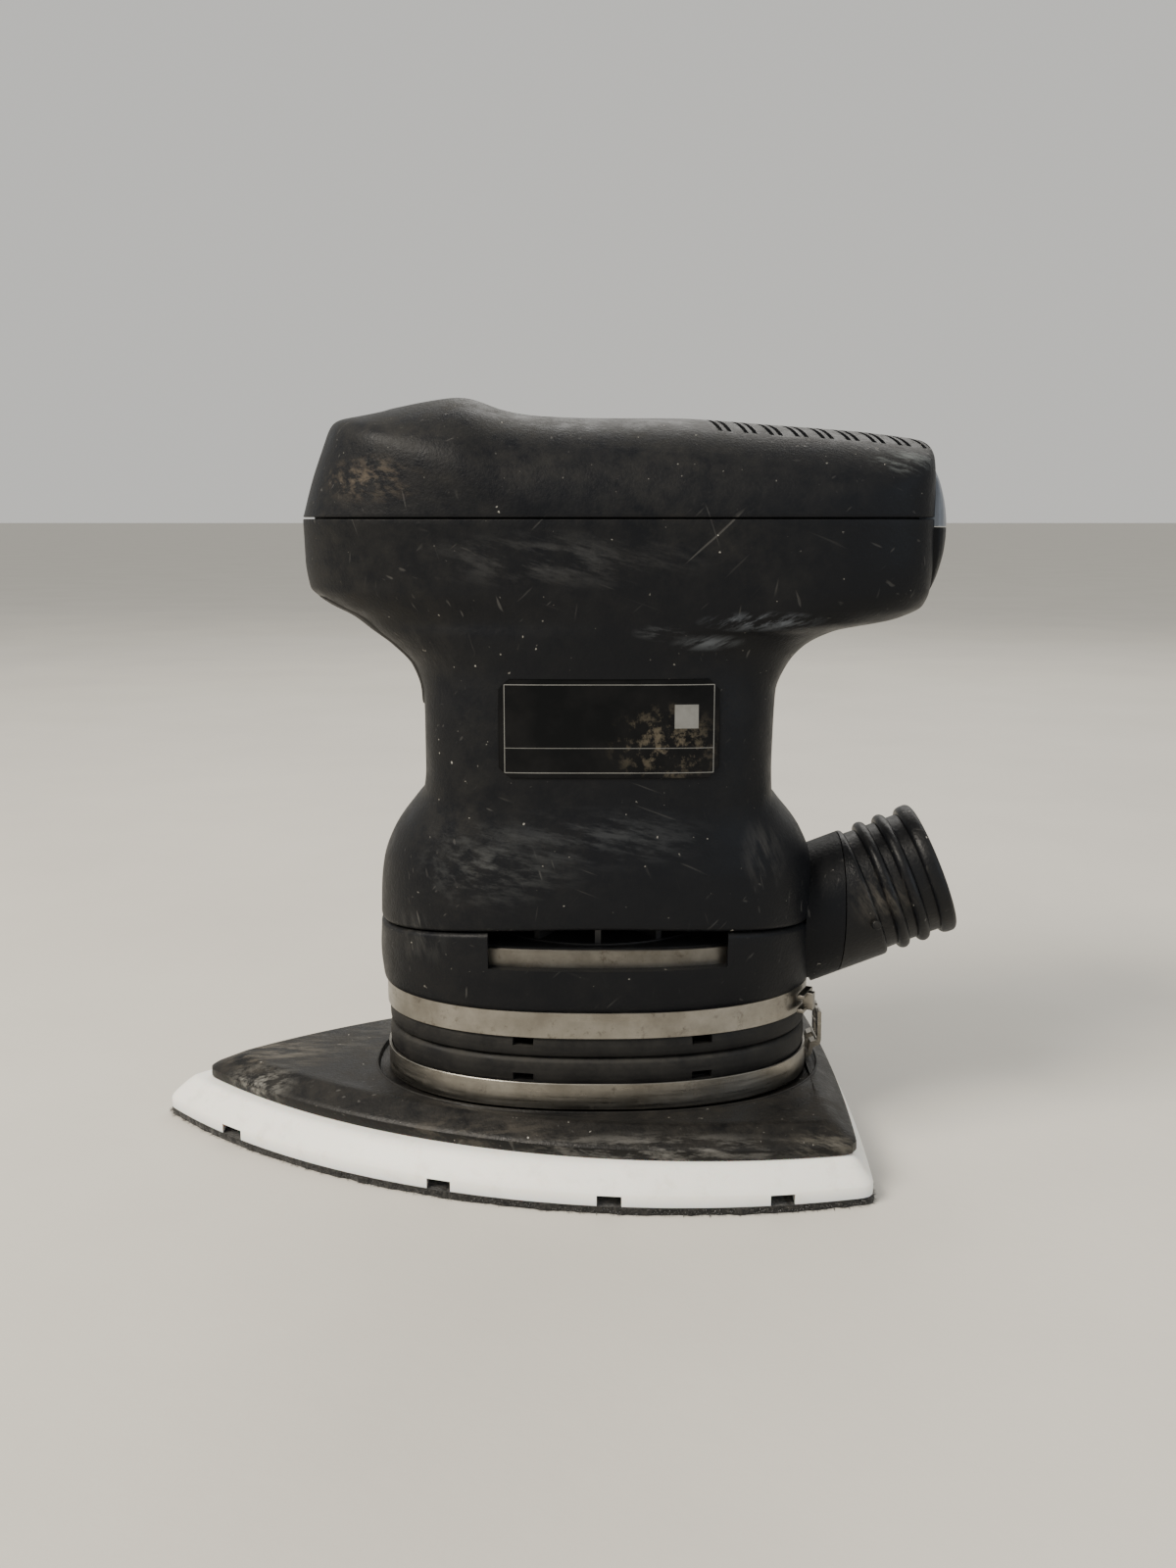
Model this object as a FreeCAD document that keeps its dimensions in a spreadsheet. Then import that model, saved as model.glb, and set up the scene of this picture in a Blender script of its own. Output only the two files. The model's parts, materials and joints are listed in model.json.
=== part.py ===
"""Delta pad orbital sander, built as an assembly of separate named pieces.

Frame: origin on the motor axis at the underside of the hook layer, +Z up,
+X towards the dust port at the rear, -X towards the tip of the pad.
Sizes are in millimetres.
"""
import FreeCAD
import Part
import os
import re
from math import cos, pi, sin

import Sketcher
from FreeCAD import Placement, Rotation, Vector

doc = FreeCAD.newDocument("OrbitalSander")

# ----------------------------------------------------------------------------
# Driving dimensions
# ----------------------------------------------------------------------------
DRIVING = {
    "pad_half_width": 50.0,
    "pad_widest_at": 16.0,
    "pad_side_radius": 150.0,
    "pad_rear": 55.2,
    "pad_rear_radius": 570.0,
    "hook_thickness": 1.4,
    "foam_top": 8.5,
    "foam_edge_inset": 4.6,
    "channel_width": 4.7,
    "channel_height": 2.2,
    "dust_hole_radius": 4.0,
    "carrier_half_width": 44.5,
    "carrier_widest_at": 20.0,
    "carrier_side_radius": 149.5,
    "carrier_rear": 51.7,
    "carrier_shoulder": 10.6,
    "carrier_top": 14.0,
    "carrier_top_inset": 4.4,
    "neck_half_length": 45.3,
    "neck_half_width": 30.7,
    "neck_roundness": 2.3,
    "band_thickness": 0.6,
    "band_height": 5.4,
    "lower_band_low": 13.2,
    "upper_band_low": 28.0,
    "sleeve_wall": 1.5,
    "wall": 2.4,
    "seam_crown_radius": 297.5,
    "seam_crown_top": 50.5,
    "seam_gap": 0.3,
    "parting": 130.0,
    "slot_front": 21.7,
    "slot_rear": 25.7,
    "slot_low": 42.3,
    "port_tilt": 21.0,
    "port_offset": 26.5,
    "port_radius": 14.15,
    "port_socket": 11.8,
    "socket_depth": 24.0,
    "port_passage": 12.1,
    "port_joint": 51.5,
    "port_end": 87.4,
    "rib_radius": 14.35,
    "label_length": 42.3,
    "label_height": 19.0,
    "label_centre_x": 2.1,
    "label_centre_z": 90.0,
    "orbit_radius": 1.0,
    "journal_radius": 6.0,
    "pin_radius": 5.0,
    "stator_radius": 26.4,
    "armature_radius": 17.2,
    "core_low": 68.0,
    "core_high": 100.0,
    "commutator_radius": 11.0,
    "running_gap": 0.05,
}

sheet = doc.addObject("Spreadsheet::Sheet", "Dimensions")
for row, (alias, value) in enumerate(DRIVING.items(), start=1):
    sheet.set("A%d" % row, alias.replace("_", " "))
    sheet.set("B%d" % row, str(value))
    sheet.setAlias("B%d" % row, alias)
doc.recompute()

UP = Rotation()
ALONG_X = Rotation(Vector(0, 1, 0), 90)
ALONG_Y = Rotation(Vector(1, 0, 0), -90)
YZ_SECTION = Rotation(Vector(1, 1, 1), 120)
pieces = []


def formula(text):
    """Turn a sum of dimension names into a spreadsheet expression."""
    return re.sub(r"[a-z_]+", lambda word: "Dimensions." + word.group(0), text)


def size(value):
    """Value in mm of a number or of a sum of dimension names."""
    if isinstance(value, str):
        return float(sheet.evalExpression(formula(value)))
    return float(value)


def bind(thing, prop, value):
    """Set a property, keeping it tied to the spreadsheet when it names a dimension."""
    if isinstance(value, str):
        thing.setExpression(prop, formula(value))
    else:
        setattr(thing, prop, value)


def place(thing, at, turn=UP):
    """Put a thing at a point whose coordinates may be named dimensions."""
    thing.Placement = Placement(Vector(*[size(value) for value in at]), turn)
    for letter, value in zip("xyz", at):
        if isinstance(value, str):
            thing.setExpression("Placement.Base." + letter, formula(value))
    return thing


def add(kind, name):
    return doc.addObject(kind, name)


def piece(label, thing):
    """Register a finished sub-part under the name its file will carry."""
    thing.Label = label
    pieces.append(thing)
    return thing


def cylinder(name, radius, height, at, turn=UP):
    thing = add("Part::Cylinder", name)
    bind(thing, "Radius", radius)
    bind(thing, "Height", height)
    return place(thing, at, turn)


def box(name, length, width, height, at, turn=UP):
    """Box centred in X and Y on its placement, standing on it in Z."""
    thing = add("Part::Box", name)
    bind(thing, "Length", length)
    bind(thing, "Width", width)
    bind(thing, "Height", height)
    corner = turn.multVec(Vector(-size(length) / 2, -size(width) / 2, 0))
    base = Vector(*[size(value) for value in at]) + corner
    thing.Placement = Placement(base, turn)
    return thing


def cut(name, base, *tools):
    """Take the tools away one after another; many small tools are joined first."""
    if len(tools) > 6:
        tools = (fuse(name + "_tools", *tools),)
    for index, tool in enumerate(tools):
        last = index == len(tools) - 1
        thing = add("Part::Cut", name if last else "%s_%d" % (name, index))
        thing.Base = base
        thing.Tool = tool
        base = thing
    return base


def fuse(name, *shapes):
    thing = add("Part::MultiFuse", name)
    thing.Shapes = list(shapes)
    return thing


def common(name, *shapes):
    thing = add("Part::MultiCommon", name)
    thing.Shapes = list(shapes)
    return thing


def group(name, *shapes):
    thing = add("Part::Compound", name)
    thing.Links = list(shapes)
    return thing


def tube(name, outer, inner, height, at, turn=UP):
    outside = cylinder(name + "_outside", outer, height, at, turn)
    inside = cylinder(name + "_inside", inner, height, at, turn)
    return cut(name, outside, inside)


# ----------------------------------------------------------------------------
# Rounded outlines and lofts
# ----------------------------------------------------------------------------
def rounded_outline(name, half_x, half_y, roundness, at, turn=UP, rear_roundness=None):
    """Closed smooth outline |x/half_x|^n + |y/half_y|^n = 1 in its own sketch.

    The half towards +X may have an exponent of its own, for a squarer end.
    """
    count = 32
    points = []
    for index in range(count):
        angle = 2 * pi * index / count
        across, along = cos(angle), sin(angle)
        power = 2 / (rear_roundness if rear_roundness and across > 0 else roundness)
        x = half_x * abs(across) ** power * (1 if across >= 0 else -1)
        y = half_y * abs(along) ** power * (1 if along >= 0 else -1)
        points.append(Vector(x, y, 0))
    curve = Part.BSplineCurve()
    curve.interpolate(points, PeriodicFlag=True)
    sketch = add("Sketcher::SketchObject", name)
    sketch.addGeometry(curve, False)
    return place(sketch, at, turn)


def loft(name, outlines):
    thing = add("Part::Loft", name)
    thing.Sections = outlines
    thing.Solid = True
    thing.Ruled = True
    return thing


def slope_at(before, here, after):
    """Slope of a curve through three points that never overshoots them."""
    first = (here[1] - before[1]) / (here[0] - before[0])
    second = (after[1] - here[1]) / (after[0] - here[0])
    if first * second <= 0:
        return 0.0
    return 2 * first * second / (first + second)


def eased(track, place):
    """Value at a place on a smooth curve through (place, value) points."""
    index = 0
    while index < len(track) - 2 and place > track[index + 1][0]:
        index += 1
    start, end = track[index], track[index + 1]
    span = end[0] - start[0]
    straight = (end[1] - start[1]) / span
    slope_in = slope_at(track[index - 1], start, end) if index else straight
    slope_out = slope_at(start, end, track[index + 2]) if index + 2 < len(track) else straight
    t = (place - start[0]) / span
    return (start[1] * (1 + 2 * t) * (1 - t) ** 2 + slope_in * span * t * (1 - t) ** 2
            + end[1] * t * t * (3 - 2 * t) + slope_out * span * t * t * (t - 1))


def refined(levels, step):
    """Levels filled in to about one every step, along eased curves."""
    tracks = [[(level[0], level[number]) for level in levels] for number in range(1, len(levels[0]))]
    filled = []
    for start, end in zip(levels, levels[1:]):
        parts = max(1, round((end[0] - start[0]) / step))
        for part in range(parts):
            z = start[0] + (end[0] - start[0]) * part / parts
            filled.append((z,) + tuple(eased(track, z) for track in tracks))
    filled.append(tuple(levels[-1]))
    return filled


def level_loft(name, levels, inset=0.0):
    """Loft through outlines given as (z, front, rear, half width, roundness, rear roundness)."""
    outlines = []
    if len(levels) > 3:
        levels = refined(levels, 2.6)
    for index, (z, front, rear, half_width, roundness, rear_roundness) in enumerate(levels):
        half_length = (rear - front) / 2 - inset
        outlines.append(rounded_outline(
            "%s_level_%d" % (name, index), half_length, half_width - inset, roundness,
            ((front + rear) / 2, 0, z), rear_roundness=rear_roundness))
    return loft(name, outlines)


def prism(name, inset, low, height):
    """Upright prism on the bellows outline, moved inwards by an inset."""
    half_length = size("neck_half_length") - size(inset)
    half_width = size("neck_half_width") - size(inset)
    outline = rounded_outline(name + "_outline", half_length, half_width,
                              size("neck_roundness"), (0, 0, low))
    thing = add("Part::Extrusion", name)
    thing.Base = outline
    thing.DirMode = "Custom"
    thing.Dir = Vector(0, 0, 1)
    bind(thing, "LengthFwd", height)
    thing.Solid = True
    return thing


def band_ring(name, outer_inset, inner_inset, low, height):
    outside = prism(name + "_outside", outer_inset, low, height)
    inside = prism(name + "_inside", inner_inset, low, height)
    return cut(name, outside, inside)


# ----------------------------------------------------------------------------
# Bodies made from constrained sketches
# ----------------------------------------------------------------------------
def sketch_in(body, plane, points, label):
    """Closed straight-sided sketch whose corners are tied to named dimensions."""
    sketch = body.newObject("Sketcher::SketchObject", label)
    origin_plane = [feature for feature in body.Origin.OriginFeatures
                    if feature.Role == plane][0]
    sketch.AttachmentSupport = [(origin_plane, "")]
    sketch.MapMode = "FlatFace"
    corners = [Vector(size(x), size(y), 0) for x, y in points]
    count = len(corners)
    for index in range(count):
        edge = Part.LineSegment(corners[index], corners[(index + 1) % count])
        sketch.addGeometry(edge, False)
    for index in range(count):
        sketch.addConstraint(Sketcher.Constraint(
            "Coincident", index, 2, (index + 1) % count, 1))
    for index, (x, y) in enumerate(points):
        for kind, value in (("DistanceX", x), ("DistanceY", y)):
            number = sketch.addConstraint(Sketcher.Constraint(
                kind, -1, 1, index, 1, size(value)))
            if isinstance(value, str):
                name = "%s_%d" % (kind, index)
                sketch.renameConstraint(number, name)
                sketch.setExpression("Constraints." + name, formula(value))
    return sketch


def turned(name, points, at=(0, 0, 0), turn=UP):
    """Body of revolution about its own Z axis from (radius, height) corners."""
    body = add("PartDesign::Body", name)
    sketch = sketch_in(body, "XZ_Plane", points, name + "_profile")
    revolution = body.newObject("PartDesign::Revolution", name + "_turned")
    revolution.Profile = sketch
    revolution.ReferenceAxis = (sketch, ["V_Axis"])
    revolution.Angle = 360
    body.Tip = revolution
    return place(body, at, turn)


def padded(name, points, thickness, at=(0, 0, 0), turn=UP):
    """Body made by padding a straight-sided sketch upwards."""
    body = add("PartDesign::Body", name)
    sketch = sketch_in(body, "XY_Plane", points, name + "_profile")
    pad = body.newObject("PartDesign::Pad", name + "_pad")
    pad.Profile = sketch
    bind(pad, "Length", thickness)
    body.Tip = pad
    return place(body, at, turn)


def delta_sketch(body, name, half_width, widest, radius, rear, tip_round, z):
    """Three-sided outline: two bowed sides, a slightly bowed rear, rounded corners."""
    sketch = body.newObject("Sketcher::SketchObject", name)
    origin_plane = [feature for feature in body.Origin.OriginFeatures
                    if feature.Role == "XY_Plane"][0]
    sketch.AttachmentSupport = [(origin_plane, "")]
    sketch.MapMode = "FlatFace"
    sketch.AttachmentOffset = Placement(Vector(0, 0, size(z)), Rotation())
    if isinstance(z, str):
        sketch.setExpression("AttachmentOffset.Base.z", formula(z))
    rear_radius = size("pad_rear_radius")
    for curve in delta_curves(half_width, widest, radius, rear, rear_radius, tip_round):
        sketch.addGeometry(curve, False)
    return sketch


def delta_curves(half_width, widest, radius, rear, rear_radius, tip_round):
    side_drop = radius - half_width
    left_centre = Vector(widest, -side_drop, 0)
    right_centre = Vector(widest, side_drop, 0)
    rear_centre = Vector(rear - rear_radius, 0, 0)
    tip = round_between(left_centre, radius, right_centre, radius, tip_round, -1, 0)
    upper = round_between(left_centre, radius, rear_centre, rear_radius, tip_round, 1, 1)
    lower = round_between(right_centre, radius, rear_centre, rear_radius, tip_round, 1, -1)
    corners = []
    for round_centre, centre_in, radius_in, centre_out, radius_out in (
            (tip, right_centre, radius, left_centre, radius),
            (upper, left_centre, radius, rear_centre, rear_radius),
            (lower, rear_centre, rear_radius, right_centre, radius)):
        start = touch_point(round_centre, centre_in, radius_in)
        end = touch_point(round_centre, centre_out, radius_out)
        middle = round_centre + outward(round_centre, start, end) * tip_round
        corners.append((start, middle, end))
    curves = []
    sides = (left_centre, rear_centre, right_centre)
    radii = (radius, rear_radius, radius)
    for index in range(3):
        start, middle, end = corners[index]
        curves.append(Part.Arc(start, middle, end))
        following = corners[(index + 1) % 3][0]
        direction = ((end + following) * 0.5 - sides[index]).normalize()
        curves.append(Part.Arc(end, sides[index] + direction * radii[index], following))
    return curves


def round_between(first, first_radius, second, second_radius, rounding, x_side, y_side):
    """Centre of the small corner arc that touches two big arcs from inside."""
    a = first_radius - rounding
    b = second_radius - rounding
    gap = second - first
    distance = gap.Length
    along = (a * a - b * b + distance * distance) / (2 * distance)
    across = (a * a - along * along) ** 0.5
    direction = Vector(gap).normalize()
    normal = Vector(-direction.y, direction.x, 0)
    options = (first + direction * along + normal * across,
               first + direction * along - normal * across)
    if y_side:
        return [point for point in options if point.y * y_side > 0][0]
    return [point for point in options if point.x * x_side > 0][0]


def touch_point(round_centre, big_centre, big_radius):
    direction = (round_centre - big_centre).normalize()
    return big_centre + direction * big_radius


def outward(round_centre, start, end):
    return ((start - round_centre) + (end - round_centre)).normalize()


def delta_plate(name, steps):
    """Plate through delta outlines given as (z, half width, widest, radius, rear, round)."""
    body = add("PartDesign::Body", name)
    sketches = [delta_sketch(body, "%s_outline_%d" % (name, index), *step[1:], step[0])
                for index, step in enumerate(steps)]
    plate = body.newObject("PartDesign::AdditiveLoft", name + "_loft")
    plate.Profile = sketches[0]
    plate.Sections = sketches[1:]
    plate.Ruled = True
    body.Tip = plate
    return body


# ----------------------------------------------------------------------------
# Sanding pad
# ----------------------------------------------------------------------------
PAD_SIDE = ("pad_half_width", "pad_widest_at", "pad_side_radius", "pad_rear")
DUST_HOLES = ((-31, 12), (-31, -12), (2, 24), (2, -24), (35, 12), (35, -12))
OUTER_HOLES = ((-77, 0), (2, 40), (2, -40), (35, 35), (35, -35))
PAD_SCREWS = ((-20, 21), (-20, -21), (22, 21), (22, -21))


def pad_step(z, inset, rounding):
    half_width, widest, radius, rear = [size(value) for value in PAD_SIDE]
    step = size(inset)
    return (z, half_width - step, widest, radius - step, rear - step, rounding)


def holes(name, radius, spots, low, height):
    drills = [cylinder("%s_%d" % (name, index), radius, height, (x, y, low))
              for index, (x, y) in enumerate(spots)]
    return fuse(name, *drills)


def make_pad():
    sheet_body = delta_plate("hook_layer_plate", [pad_step(0, 0, 3), pad_step("hook_thickness", 0, 3)])
    drills = holes("hook_holes", "dust_hole_radius", DUST_HOLES + OUTER_HOLES, -1, 4)
    screw_access = holes("hook_screw_access", 4.6, PAD_SCREWS, -1, 4)
    piece("hook_layer", cut("hook_layer_cut", sheet_body, drills, screw_access))

    foam = delta_plate("foam_plate", [
        pad_step("hook_thickness", 0.4, 3), pad_step("hook_thickness + 2.6", 0.5, 3),
        pad_step("foam_top - 1.2", 3.2, 2.5), pad_step("foam_top", "foam_edge_inset", 2)])
    channels = [box("air_channel_%d" % index, "channel_width", 120, "channel_height",
                    (x, 0, "hook_thickness"))
                for index, x in enumerate((-77, -31, 2, 35))]
    foam_drills = holes("foam_holes", "dust_hole_radius", DUST_HOLES, 0, 12)
    head_wells = holes("foam_head_wells", 4.6, PAD_SCREWS, 0, 7)
    shank_holes = holes("foam_shank_holes", 2.0, PAD_SCREWS, 0, 12)
    piece("pad_foam", cut("pad_foam_cut", foam, *channels, foam_drills, head_wells, shank_holes))

    screws = []
    for index, (x, y) in enumerate(PAD_SCREWS):
        shape = turned("pad_screw_%d" % index, [
            (0, 4.2), (1.2, 4.2), (1.2, 3), (3.6, 3), (3.6, 4.6), (3.2, 7),
            (2.0, 7), (2.0, 13), (0, 13)], (x, y, 0))
        screws.append(shape)
    piece("pad_screws", group("pad_screw_group", *screws))


def make_carrier():
    half_width = size("carrier_half_width")
    widest = size("carrier_widest_at")
    radius = size("carrier_side_radius")
    rear = size("carrier_rear")
    inset = size("carrier_top_inset")
    plate = delta_plate("carrier_plate", [
        ("foam_top", half_width, widest, radius, rear, 3),
        ("carrier_shoulder", half_width, widest, radius, rear, 3),
        ("carrier_top", half_width - inset, widest, radius - inset, rear - inset, 2.5)])
    collar = band_ring("dust_collar", -2.2, -0.35, 13.0, 2.4)
    spigot = band_ring("sleeve_spigot", "band_thickness + sleeve_wall + running_gap",
                       5.0, 12.5, 6.5)
    hub = cylinder("bearing_hub", 17.0, 14.0, ("orbit_radius", 0, "foam_top"))
    ribs = [box("hub_rib_%d" % index, 74, 3, 4, (0, 0, 13.5), Rotation(Vector(0, 0, 1), turn))
            for index, turn in enumerate((0, 40, -40))]
    rib_limit = prism("rib_limit", 4.0, 13.5, 4)
    short_ribs = common("short_ribs", fuse("rib_star", *ribs), rib_limit)
    moat = cut("band_moat", prism("moat_outside", -0.35, 13.0, 9.0),
               prism("moat_inside", 2.3, 12.0, 11.0))
    clip_gap = box("clip_gap", 8.0, 10.0, 9.0, (49.0, 0, 13.0))
    dished = cut("carrier_dished", fuse("carrier_with_collar", plate, collar), moat, clip_gap)
    solid = fuse("carrier_solid", dished, spigot, hub, short_ribs)
    bore = cylinder("bearing_bore", 13.0, 12.0, ("orbit_radius", 0, 14.5))
    well = cylinder("screw_well", 8.5, 8.0, ("orbit_radius", 0, 11.0))
    drills = holes("carrier_holes", "dust_hole_radius", DUST_HOLES, 5, 20)
    threads = holes("carrier_threads", 2.0, PAD_SCREWS, 5, 8)
    piece("pad_carrier", cut("carrier_cut", solid, bore, well, drills, threads))


def make_bands():
    sleeve_inset = size("band_thickness")
    proud = 0.1
    levels = ((13.2, sleeve_inset), (18.6, sleeve_inset), (19.2, proud), (22.9, proud + 0.2),
              (23.7, proud + 1.1), (24.5, proud + 0.2), (27.3, proud), (27.9, sleeve_inset),
              (33.4, sleeve_inset))
    outlines = [rounded_outline(
        "sleeve_level_%d" % index, size("neck_half_length") - inset,
        size("neck_half_width") - inset, size("neck_roundness"), (0, 0, z))
        for index, (z, inset) in enumerate(levels)]
    outside = loft("sleeve_outside", outlines)
    inside = prism("sleeve_inside", "band_thickness + sleeve_wall", 13.0, 21.0)
    pockets = [box("pocket_%d_%d" % (x, z), 4.0, 90, 1.7, (x, 0, z))
               for x in (-15, 21) for z in (19.0, 26.0)]
    pocket_floor = prism("pocket_floor", 1.3, 13.0, 21.0)
    pocket_tool = cut("pocket_tool", fuse("pocket_bars", *pockets), pocket_floor)
    piece("rubber_sleeve", cut("sleeve_cut", outside, inside, pocket_tool))

    ear_shift = size("neck_half_length")
    upper_ring = band_ring("upper_band_ring", 0, "band_thickness", "upper_band_low", "band_height")
    piece("upper_band", upper_ring)
    lower_ring = band_ring("lower_band_ring", 0, "band_thickness - running_gap",
                           "lower_band_low", "band_height")
    piece("lower_band", lower_ring)
    corner = Rotation(Vector(0, 0, 1), -24)
    upper_plate = box("upper_clip_plate", 1.6, 7, 4.0, (42.9, -14.0, 28.6), corner)
    upper_fold = box("upper_clip_fold", 2.6, 2.4, 4.0, (43.8, -14.4, 28.6), corner)
    clip = fuse("upper_clip_body", upper_plate, upper_fold)
    piece("upper_band_clip", cut("upper_clip_cut", clip, prism("upper_clip_seat", 0, 27, 8)))
    lever = box("lower_clip_lever", 0.9, 8, 7.6, (ear_shift + 2.9, 0, 17.0))
    foot = box("lower_clip_foot", 3.6, 8, 1.1, (ear_shift + 1.5, 0, 17.0))
    lug = box("lower_clip_lug", 1.0, 5, 4.0, (ear_shift + 0.5, 0, 13.8))
    lower_clip = fuse("lower_clip_body", lever, foot, lug)
    piece("lower_band_clip", cut("lower_clip_cut", lower_clip, prism("lower_clip_seat", 0, 12, 7)))


# ----------------------------------------------------------------------------
# Housing shells
# ----------------------------------------------------------------------------
HOUSING_LEVELS = (
    (33.6, -45.8, 45.4, 31.0, 2.4, 2.4),
    (40.0, -46.3, 45.6, 31.6, 2.5, 2.5),
    (47.0, -46.0, 45.4, 32.0, 2.6, 2.6),
    (54.0, -45.7, 45.2, 32.2, 2.7, 2.7),
    (60.0, -44.9, 44.8, 31.9, 2.8, 2.8),
    (66.0, -42.6, 42.5, 31.0, 3.0, 3.0),
    (71.0, -38.9, 38.6, 30.2, 3.3, 3.3),
    (75.0, -35.9, 36.0, 29.7, 3.8, 3.8),
    (80.0, -35.3, 35.7, 29.6, 4.0, 4.0),
    (90.0, -35.3, 35.9, 29.6, 4.0, 4.0),
    (95.5, -35.7, 36.4, 29.8, 3.6, 3.6),
    (100.5, -37.8, 38.9, 30.3, 3.0, 3.0),
    (104.5, -41.9, 42.8, 30.8, 2.5, 2.5),
    (107.5, -46.2, 49.0, 31.1, 2.2, 2.6),
    (110.2, -50.0, 61.2, 31.3, 2.0, 3.3),
    (112.8, -55.1, 64.8, 31.6, 2.05, 4.5),
    (116.0, -59.0, 65.4, 31.9, 2.2, 5.5),
    (122.0, -59.8, 65.6, 32.2, 2.5, 6.0),
    (129.4, -59.8, 65.6, 32.3, 2.7, 6.0),
)


def inner_levels(levels, low, high):
    """Levels for the inside, pushed away from the waist so every wall keeps its thickness."""
    wall = size("wall")
    waist = 85.0
    moved = []
    for level in levels:
        step = -wall if level[0] < waist else wall
        moved.append((level[0] + step,) + level[1:])
    first = (low,) + moved[0][1:]
    last = (high,) + moved[-1][1:]
    return [first] + moved[1:-1] + [last]


def make_housing():
    outside = level_loft("housing_outside", HOUSING_LEVELS)
    inside = level_loft("housing_inside", inner_levels(HOUSING_LEVELS, 33.0, 133.0),
                        size("wall"))
    neck_outer = prism("neck_outer", "band_thickness + sleeve_wall", 27.0, 8.0)
    neck_inner = prism("neck_inner", 4.4, 26.0, 10.0)
    crown = cylinder("seam_crown", "seam_crown_radius", 200,
                     (0, -100, "seam_crown_top - seam_crown_radius"), ALONG_Y)
    crown_gap = cylinder("seam_crown_gap", "seam_crown_radius + seam_gap", 200,
                         (0, -100, "seam_crown_top - seam_crown_radius"), ALONG_Y)
    rear_seat = cap_solid("rear_seat", 0.25)

    tongue_low = rounded_outline("tongue_low_outline", 58.6, 29.2, 2.7, (2.9, 0, 124),
                                 rear_roundness=6.0)
    tongue = add("Part::Extrusion", "tongue_outside")
    tongue.Base = tongue_low
    tongue.DirMode = "Custom"
    tongue.Dir = Vector(0, 0, 1)
    tongue.LengthFwd = 7.6
    tongue.Solid = True
    tongue_hole = add("Part::Extrusion", "tongue_inside")
    tongue_hole.Base = rounded_outline("tongue_hole_outline", 56.8, 27.4, 2.7, (2.9, 0, 122),
                                       rear_roundness=6.0)
    tongue_hole.DirMode = "Custom"
    tongue_hole.Dir = Vector(0, 0, 1)
    tongue_hole.LengthFwd = 12
    tongue_hole.Solid = True
    foot = (-59.7, 65.6, 32.3, 2.7, 6.0)
    lip_foot = level_loft("lip_foot", [(124,) + foot, (129.3,) + foot], 1.6)
    rear_gap = box("lip_rear_gap", 30, 48, 14, (63, 0, 120))
    lip = cut("parting_lip", fuse("lip_blank", tongue, lip_foot), tongue_hole, rear_gap)

    insert_zone = box("insert_zone", 26, 30, 22, (-46.5, 0, 92.5))
    insert_skin = level_loft("insert_skin", HOUSING_LEVELS, -0.35)
    insert_floor = level_loft("insert_floor", HOUSING_LEVELS, 1.0)
    insert_block = cut("insert_block", common("insert_zone_skin", insert_zone, insert_skin), insert_floor)
    piece("front_grip_insert", insert_block)
    insert_seat = cut("insert_seat", box("insert_seat_zone", 26.2, 30.4, 22.4, (-46.5, 0, 92.3)),
                      insert_floor)

    port_hole = port_bar("port_hole", "port_passage", 42, 70)
    shell = cut("main_shell", outside, inside, crown_gap, port_hole)
    main = fuse("main_with_lip", shell, lip)
    plate_seat = label_zone("label_seat", 1.5, 0.75, 0.1)
    notch = box("nose_notch", 6.6, 7.0, 3.0, (-59.8, 0, 128.0))
    piece("main_housing", cut("main_housing_cut", main, rear_seat, insert_seat, plate_seat, notch))

    collar_shell = common("collar_shell", cut("collar_blank", outside, inside), crown)
    collar = fuse("collar_with_neck", collar_shell, cut("neck", neck_outer, neck_inner),
                  cut("neck_floor", prism("neck_floor_outer", 2.1, 33.0, 2.4),
                      prism("neck_floor_inner", 4.4, 32.0, 5.0)))
    slot_length = size("slot_front + slot_rear")
    slot_middle = (size("slot_rear") - size("slot_front")) / 2
    slots = box("exhaust_slots", slot_length, 90, 12, (slot_middle, 0, "slot_low"))
    slot_core = box("slot_core", slot_length + 4, 40, 14, (slot_middle, 0, 41))
    piece("lower_collar", cut("lower_collar_cut", collar,
                              cut("slot_tool", slots, slot_core), port_hole))

    strip_shape = (-46.2, 45.6, 31.4, 2.5, 2.5)
    strip_levels = [(37.0,) + strip_shape, (42.0,) + strip_shape, (48.0,) + strip_shape]
    strip_outside = level_loft("strip_outside", strip_levels, 2.75)
    strip_inside = level_loft("strip_inside", strip_levels, 3.6)
    strip_skin = cut("strip_skin", strip_outside, strip_inside)
    strips = [common("baffle_%d" % side, strip_skin,
                     box("baffle_zone_%d" % side, slot_length + 4, 20, 8.2,
                         (slot_middle, side * 30, 38.9)))
              for side in (1, -1)]
    piece("exhaust_baffles", group("baffle_group", *strips))
    divider_shape = (-42.0, 41.3, 27.3, 2.6, 2.6)
    divider_outline = level_loft("divider_outline", [(44.6,) + divider_shape, (45.8,) + divider_shape])
    divider = cut("divider_cut", divider_outline, cylinder("divider_hole", 25.7, 6, (0, 0, 43)))
    piece("air_divider", divider)


def label_zone(name, outset, depth, grow=0.0):
    """Rounded plate-shaped slice of the near flank at the waist."""
    waist = (-35.3, 35.9, 29.6, 4.0, 4.0)
    band_out = level_loft(name + "_out", [(78,) + waist, (102,) + waist], -outset)
    band_in = level_loft(name + "_in", [(77,) + waist, (103,) + waist], depth)
    half_length = size("label_length") / 2 + grow
    half_height = size("label_height") / 2 + grow
    corner = 2.0
    plate = padded(name + "_plate", [
        (-half_length, -half_height + corner), (-half_length + corner, -half_height),
        (half_length - corner, -half_height), (half_length, -half_height + corner),
        (half_length, half_height - corner), (half_length - corner, half_height),
        (-half_length + corner, half_height), (-half_length, half_height - corner)],
        20, ("label_centre_x", -20, "label_centre_z"), Rotation(Vector(1, 0, 0), 90))
    return cut(name + "_slice", common(name + "_face", band_out, plate), band_in)


def make_label():
    piece("name_plate", label_zone("name_plate", 0.3, 0.7))


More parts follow.
